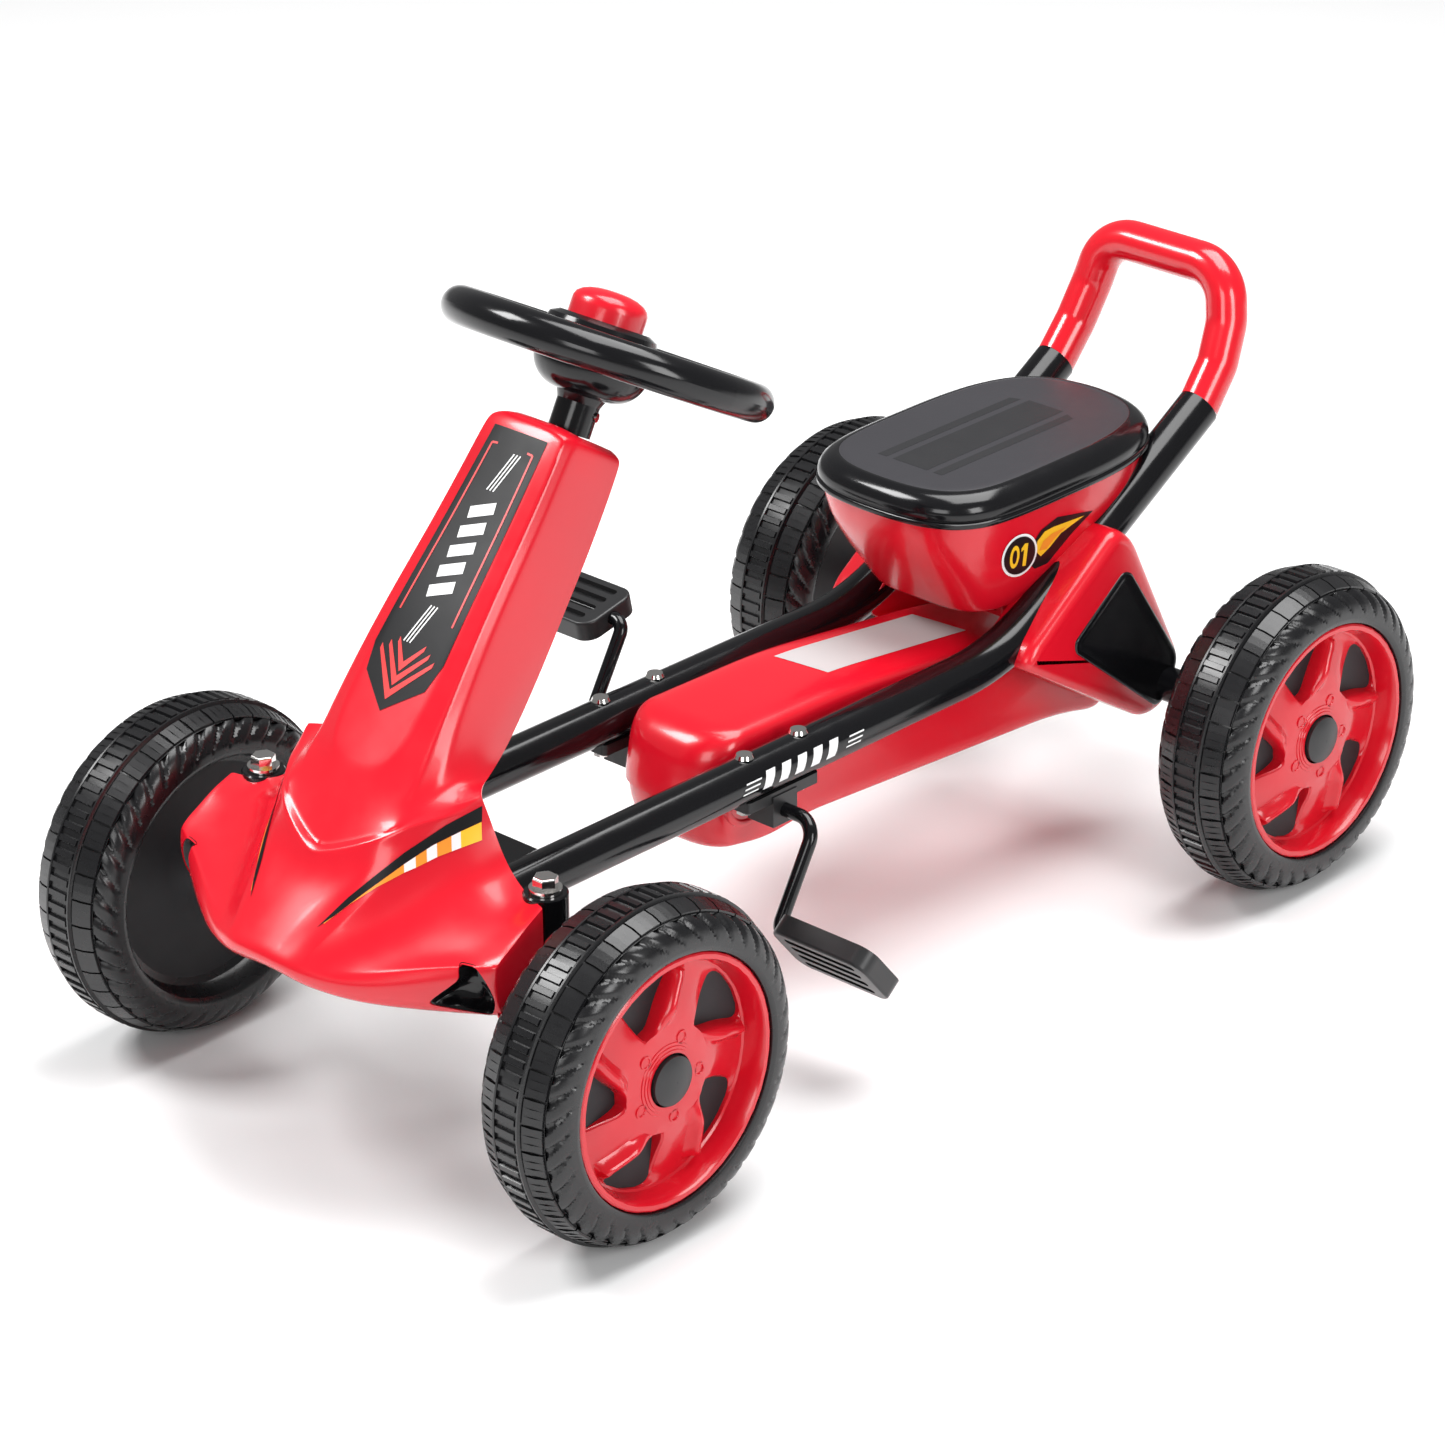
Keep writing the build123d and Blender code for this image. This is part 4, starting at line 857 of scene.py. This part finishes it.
horn = Builder()
horn.grid([about_column(h, r) for h, r in HORN_DOME], closed=True)
horn.cap(about_column(*HORN_DOME[-1]))
horn.cap(about_column(*HORN_DOME[0]))
horn.build("horn_dome", [red_plastic], "horn", sharp=45, stands_for=("horn_button",))

# ---- seat ----
SEAT_HALF = [(0, 123.5), (28, 125), (50, 130.5), (68, 142.5), (79, 162), (83.4, 192), (84.2, 240), (83, 290),
             (77, 328), (63, 358), (38, 376), (0, 382.5)]
SEAT_MIDDLE_Y = 250
SEAT_HALF_WIDTH = 84.2
SEAT_HALF_LENGTH = 129.5
RIM_LIFT = 6
# inset and height of the lid's rim, then of the panel let into it
LID_RIM = [(5, 292.5), (3, 291.2), (0.6, 291.1), (0.0, 292.0), (0.0, 294.2), (0.8, 295.2), (1.9, 295.5),
           (2.1, 296.6), (1.0, 297.5), (0.7, 300.0), (1.2, 303.5), (3.4, 308.0), (7.4, 311.8), (11.5, 313.6),
           (14.0, 314.1)]
LID_PANEL = [(14.0, 314.1), (14.8, 313.7), (15.6, 314.0), (20, 314.4), (34, 314.8), (56, 314.95), (76, 315)]


def loop_of(half, count):
    """A closed curve through `half`, which runs down the left side, and its mirror image."""
    left = [Vector((x, y, 0)) for x, y in half]
    right = [Vector((-x, y, 0)) for x, y in reversed(half[1:-1])]
    return spline(left + right, count, closed=True)


def seat_ring(inset, z, count=120):
    """The seat's outline drawn in by `inset` towards its middle."""
    kx = (SEAT_HALF_WIDTH - inset) / SEAT_HALF_WIDTH
    ky = (SEAT_HALF_LENGTH - inset) / SEAT_HALF_LENGTH
    return [Vector((p.x * kx, SEAT_MIDDLE_Y + (p.y - SEAT_MIDDLE_Y) * ky, z + RIM_LIFT))
            for p in loop_of(SEAT_HALF, count)]


lid = Builder()
lid.grid([seat_ring(inset, z) for inset, z in LID_RIM], closed=True)
lid.grid([seat_ring(inset, z) for inset, z in LID_PANEL], closed=True, material=1)
lid.cap(seat_ring(*LID_PANEL[-1]), material=1)
seat_lid = lid.build("seat_lid_shell", [black_gloss, seat_satin], "chassis", sharp=40,
                     stands_for=("seat_lid",))

TUB_FLOOR = [(0, 176), (30, 177), (48, 186), (55, 204), (57, 240), (55, 300), (53, 325), (42, 338), (0, 340)]
# how far from the floor's outline (0) to the lid's (1), and the height
TUB_LEVELS = [(-0.06, 214.2), (0.0, 214.5), (0.04, 216.5), (0.16, 224), (0.36, 237), (0.56, 250), (0.74, 263),
              (0.88, 276), (0.96, 288), (1.0, 297.2)]
TUB_INSET = 4.0


def tub_ring(s, z, count=120):
    """From the floor (0) to just inside the lid (1)."""
    top = seat_ring(TUB_INSET, 0, count)
    floor = loop_of(TUB_FLOOR, count)

    def at_angle(loop, angle):
        mid = sum(loop, Vector()) / len(loop)

        def away(p):
            return abs(math.remainder(math.atan2(p.y - mid.y, p.x - mid.x) - angle, math.tau))

        return min(loop, key=away)

    out = []
    for i in range(count):
        angle = math.tau * i / count
        a = at_angle(floor, angle)
        c = at_angle(top, angle)
        out.append(Vector((a.x + (c.x - a.x) * s, a.y + (c.y - a.y) * s, z)))
    return out


tub = Builder()
tub.grid([tub_ring(s, z) for s, z in TUB_LEVELS], closed=True)
tub.cap(tub_ring(*TUB_LEVELS[0]))
seat_tub = tub.build("seat_tub", [red_plastic], "chassis", sharp=50, stands_for=("seat_base",))

# ---- prints on the tub: a disc with a number and a swoosh behind it, as outlines of (y, z) ----
TUB_PRINT_X = 70
DISC_Y = 204.2
DISC_Z = 259.4
tub_trees = tree_of(seat_tub)


def side_place(y, z):
    return (TUB_PRINT_X, y, z)


def oval(y, z, a, b, turn, count=40):
    """An ellipse with half axes `a` and `b`, turned by `turn` radians."""
    out = []
    for i in range(count):
        t = math.tau * i / count
        dy, dz = a * math.cos(t), b * math.sin(t)
        out.append((y + dy * math.cos(turn) - dz * math.sin(turn),
                    z + dy * math.sin(turn) + dz * math.cos(turn)))
    return out


def on_tub(name, outline, material, lift):
    """A print with its mirror image on the other side."""
    lay(f"{name}_left", outline, side_place, None, tub_trees, material, lift, twin=f"{name}_right")


on_tub("tub_swoosh_dark", [(214, 250), (217, 262), (228, 271), (246, 275.5), (286, 268), (262, 257.5),
                           (236, 243), (222, 243)], decal_black, 0.3)
on_tub("tub_swoosh", [(222, 257), (224, 264), (232, 269), (242, 269.5), (276, 267.5), (250, 262), (238, 255),
                      (228, 251)], decal_yellow, 0.55)
on_tub("tub_swoosh_core", [(226, 256), (230, 262), (240, 265), (256, 265.5), (242, 260), (234, 255)],
       decal_orange, 0.75)
on_tub("tub_ring", oval(DISC_Y, DISC_Z, 19.5, 15.8, -0.2), decal_white, 0.8)
on_tub("tub_disc", oval(DISC_Y, DISC_Z, 17.2, 13.9, -0.2), decal_black, 1.0)


def digit(name, outline, material, lift):
    """The same figure on both sides, so that it reads the right way round on each."""
    lay(f"{name}_left", outline, side_place, None, tub_trees, material, lift)
    turned = [(2 * DISC_Y - y, z) for y, z in outline]
    lay(f"{name}_right", turned, side_place, None, tub_trees, material, lift, swap=True)


digit("tub_digit_ring", oval(198.5, 260.2, 5.2, 8.4, -0.12), decal_yellow, 1.2)
digit("tub_digit_hole", oval(198.5, 260.2, 2.4, 5.2, -0.12), decal_black, 1.4)
digit("tub_digit_one", [(207.0, 250.5), (210.8, 249.8), (213.2, 266.4), (209.6, 267.2), (205.8, 264.4),
                        (205.6, 261.8), (208.8, 262.8)], decal_yellow, 1.2)

# ---- three plain bands down the lid ----
DOWN = (0, 0, -1)
BAND_FRONT = 166
BAND_REAR = 322
LID_CLEAR = 360
lid_trees = tree_of(seat_lid)
for k, (x0, x1) in enumerate(((-30, -22), (-16, 16), (22, 30))):
    band = [(x0, BAND_FRONT), (x1, BAND_FRONT)] + [(x, BAND_REAR - abs(x) * 0.4) for x in (x1, x0)]
    lay(f"lid_band_{k}", band, lambda x, y: (x, y, LID_CLEAR), DOWN, lid_trees, lid_print,
        lift=0.12, cell=12)

# ---- rear axle covers: rounded cheeks outside the tubes, each with a black panel let in ----
CHEEK = [(284, 262), (304, 248), (364, 134), (344, 101), (322, 98), (184, 184), (192, 197)]
PANEL = [(289, 227), (298, 224), (357, 138), (341, 109), (331, 106), (237, 180), (236, 189)]
CHEEK_ROUND = 16
PANEL_ROUND = 12
# distance from the middle plane and inset of the outline, from the inner face to the outer one
CHEEK_LEVELS = [(53, 0), (88, 0), (91.5, 0.7), (94.3, 2.6), (96.2, 5.4), (97, 9)]
PANEL_LEVELS = [(96.4, 0.0), (97.5, 0.2), (98.3, 1.0), (98.5, 2.0), (98.1, 4.5), (97.7, 8)]


def rounded(corners, radius, steps=6):
    """A polygon with each corner turned on a curve of about `radius`."""
    out = []
    n = len(corners)
    for i in range(n):
        p = Vector(corners[i])
        a = Vector(corners[i - 1]) - p
        c = Vector(corners[(i + 1) % n]) - p
        reach = min(radius, 0.45 * a.length, 0.45 * c.length)
        start = p + a.normalized() * reach
        end = p + c.normalized() * reach
        for k in range(steps + 1):
            t = k / steps
            out.append(start * (1 - t) ** 2 + p * 2 * t * (1 - t) + end * t * t)
    return out


def shrunk(ring, inset):
    """Each point moved inwards, square to the outline."""
    out = []
    n = len(ring)
    area = sum(ring[i - 1].x * ring[i].y - ring[i].x * ring[i - 1].y for i in range(n))
    turn = 1 if area > 0 else -1
    for i, p in enumerate(ring):
        along = (ring[(i + 1) % n] - ring[i - 1]).normalized()
        out.append(p + Vector((-along.y, along.x)) * inset * turn)
    return out


def upright(outline, x, inset):
    """An outline of (y, z) points, drawn in by `inset` and stood at x."""
    return [Vector((x, p.x, p.y)) for p in shrunk(outline, inset)]


for tag, s in LEFT_RIGHT:
    cheek = Builder()
    rings = [upright(rounded(CHEEK, CHEEK_ROUND), s * x, inset) for x, inset in CHEEK_LEVELS]
    cheek.grid(rings, closed=True)
    cheek.cap(rings[-1])
    cheek.cap(rings[0])
    cheek.build(f"rear_cheek_{tag}", [red_plastic], "chassis", sharp=40,
                stands_for=(f"rear_cover_{tag}",))
    inlay = Builder()
    rings = [upright(rounded(PANEL, PANEL_ROUND), s * x, inset) for x, inset in PANEL_LEVELS]
    inlay.grid(rings, closed=True)
    inlay.cap(rings[-1])
    inlay.build(f"rear_inlay_{tag}", [black_gloss], "chassis", sharp=40,
                stands_for=(f"rear_panel_{tag}",))

# ---- chain cover: a lid over a tray, split on a sloping seam, with a domed front ----
COVER = [(-97, 150), (-84, 204), (55, 202), (216, 183), (344, 162), (344, 80), (285, 94), (13, 112),
         (-30, 108), (-84, 116)]
COVER_HALF = 45
COVER_ROUND = 30
COVER_EDGE = 16
# the front is domed: its sides are drawn back by up to DOME_BACK, over DOME_LENGTH ahead of DOME_Y
DOME_Y = -20
DOME_LENGTH = 80
DOME_BACK = 16
SEAM_AT = Vector((0, 27.8, 145.5))
SEAM_UP = Vector((0, 17, 250)).normalized()


def cover_shell(name, extra, upper, node):
    """The cover's part above or below the seam, `extra` larger all round."""
    outline = rounded(COVER, COVER_ROUND, steps=10)
    shell = Builder()
    rows = []
    count = 28
    half = COVER_HALF + extra
    for i in range(count + 1):
        turn = math.pi * (i / count - 0.5)
        reach = math.copysign(abs(math.sin(turn)) ** 0.45, turn)
        flat = math.cos(turn) ** 0.5 if abs(math.cos(turn)) > 1e-9 else 0
        inset = COVER_EDGE * (1 - flat) - extra
        row = []
        for p in shrunk(outline, inset):
            ahead = min(max((DOME_Y - p.x) / DOME_LENGTH, 0.0), 1.0)
            row.append(Vector((half * reach, p.x + DOME_BACK * ahead * abs(reach) ** 3, p.y)))
        rows.append(row)
    shell.grid(rows, closed=True)
    shell.cap(rows[0])
    shell.cap(rows[-1])
    shell.tidy()
    bm = bmesh.new()
    made = [bm.verts.new(v) for v in shell.verts]
    for f in shell.faces:
        bm.faces.new([made[k] for k in f])
    geometry = bm.verts[:] + bm.edges[:] + bm.faces[:]
    cut = bmesh.ops.bisect_plane(bm, geom=geometry, plane_co=SEAM_AT, plane_no=SEAM_UP, clear_inner=upper,
                                 clear_outer=not upper)
    loose = [e for e in cut["geom_cut"] if isinstance(e, bmesh.types.BMEdge)]
    bmesh.ops.contextual_create(bm, geom=loose)
    bmesh.ops.recalc_face_normals(bm, faces=bm.faces)
    bm.verts.index_update()
    verts = [v.co.copy() for v in bm.verts]
    faces = [tuple(v.index for v in f.verts) for f in bm.faces]
    bm.free()
    return piece(name, verts, faces, [red_plastic], "chassis", sharp=40, stands_for=(node,))


cover_top = cover_shell("chain_lid_shell", 1.8, True, "chain_cover_top")
cover_shell("chain_tray_shell", 0.0, False, "chain_cover_bottom")

cover_trees = tree_of(cover_top)
lay("cover_blank_label", [(-24, 50), (22, 56), (22, 204), (-24, 198)], lambda x, y: (x, y, 260), DOWN,
    cover_trees, label_grey, lift=0.3, cell=8.0)

# a round boss on each side of the cover, where the crank comes out: radius and distance from the middle plane
CRANK_Y = -52.5
CRANK_Z = 155
BOSS = ((24, 44), (23.6, 46.6), (22.4, 47.6), (19.6, 47.6), (18.6, 46.8), (18.2, 45.8), (4, 45.6))
for tag, s in LEFT_RIGHT:
    boss = Builder()
    boss.grid([[Vector((s * x, CRANK_Y + radius * math.cos(a), CRANK_Z + radius * math.sin(a)))
                for a in (math.tau * i / 48 for i in range(48))] for radius, x in BOSS], closed=True)
    boss.build(f"crank_boss_{tag}", [red_plastic], "chassis", sharp=40)

# ---- side tubes: a generic printed strip of lines and blocks ----
for tag, s in LEFT_RIGHT:
    tube = tree_of(frame["nodes"][f"side_tube_{tag}"])

    def on_tube(name, outline, tube=tube, s=s):
        """A print on the tube's outer face."""
        lay(name, outline, lambda y, z: (s * 120, y, z), (-s, 0, 0), tube, decal_white,
            lift=0.25, cell=3.0)

    for k in range(3):
        for part, start in (("front", -98), ("rear", 6)):
            y0 = start + 2 * k
            z0 = 182 + 3.2 * k
            z1 = z0 + 1.1
            on_tube(f"tube_line_{part}_{k}_{tag}", [(y0, z0), (y0 + 15, z0), (y0 + 15.6, z1), (y0 + 0.6, z1)])
    for k in range(5):
        y0 = -78 + 16 * k
        on_tube(f"tube_block_{k}_{tag}", [(y0, 180), (y0 + 9, 180), (y0 + 14, 192), (y0 + 5, 192)])


# ---- stage, light and camera ----
FLOOR_HALF = 40


def soft_white(name, level, rough):
    """Matt white with a barely visible drift."""
    material, nodes, links, shader = new_material(name)
    noise = nodes.new("ShaderNodeTexNoise")
    put(noise, {"Scale": 3.0})
    low = (level, level, level)
    high = (level * 0.99, level * 0.99, level * 0.995)
    links.new(blend(nodes, links, noise.outputs["Fac"], low, high), shader.inputs["Base Color"])
    put(shader, {"Roughness": rough, "Specular IOR Level": 0.2})
    return material


floor_mesh = bpy.data.meshes.new("floor")
floor_corners = [(x * FLOOR_HALF, y * FLOOR_HALF, 0) for x, y in ((-1, -1), (1, -1), (1, 1), (-1, 1))]
floor_mesh.from_pydata(floor_corners, [], [(0, 1, 2, 3)])
floor_mesh.materials.append(soft_white("floor_white", 0.93, 0.6))
floor = add("floor", floor_mesh)

world = bpy.data.worlds.new("studio")
bpy.context.scene.world = world
world.use_nodes = True
put(world.node_tree.nodes["Background"], {"Color": (1, 1, 1, 1), "Strength": 0.24})


def area_light(name, at, target, size, power, size_y=None):
    """A square or oblong light at one point that faces another."""
    data = bpy.data.lights.new(name, "AREA")
    data.shape = "RECTANGLE"
    data.size = size
    data.size_y = size_y or size
    data.energy = power
    obj = add(name, data)
    obj.location = at
    obj.rotation_euler = (Vector(target) - Vector(at)).to_track_quat("-Z", "Y").to_euler()


area_light("key", (-1.7, -1.5, 2.7), (0, 0, 0.2), 1.1, 78)
area_light("top", (0.3, 0.7, 3.0), (0, 0, 0.2), 2.2, 112)
area_light("side", (2.9, -0.3, 1.5), (0, 0, 0.15), 1.0, 36, 1.4)
area_light("front", (1.2, -3.0, 1.5), (0, 0, 0.25), 1.2, 22)

yaw, pitch, roll = 0.7545420, 0.4409186, -0.0049636
back = Vector((math.sin(yaw) * math.cos(pitch), -math.cos(yaw) * math.cos(pitch), math.sin(pitch)))
right = Vector((math.cos(yaw), math.sin(yaw), 0))
up = back.cross(right)
rolled_right = right * math.cos(roll) + up * math.sin(roll)
rolled_up = up * math.cos(roll) - right * math.sin(roll)
camera_data = bpy.data.cameras.new("camera")
camera_data.lens = 135.045
camera_data.sensor_width = 36
camera_data.clip_end = 200
camera = add("camera", camera_data)
turned = Matrix((rolled_right, rolled_up, back)).transposed().to_4x4()
camera.matrix_world = Matrix.Translation(EYE * MM) @ turned
bpy.context.scene.camera = camera

bpy.context.scene.view_settings.view_transform = "Standard"
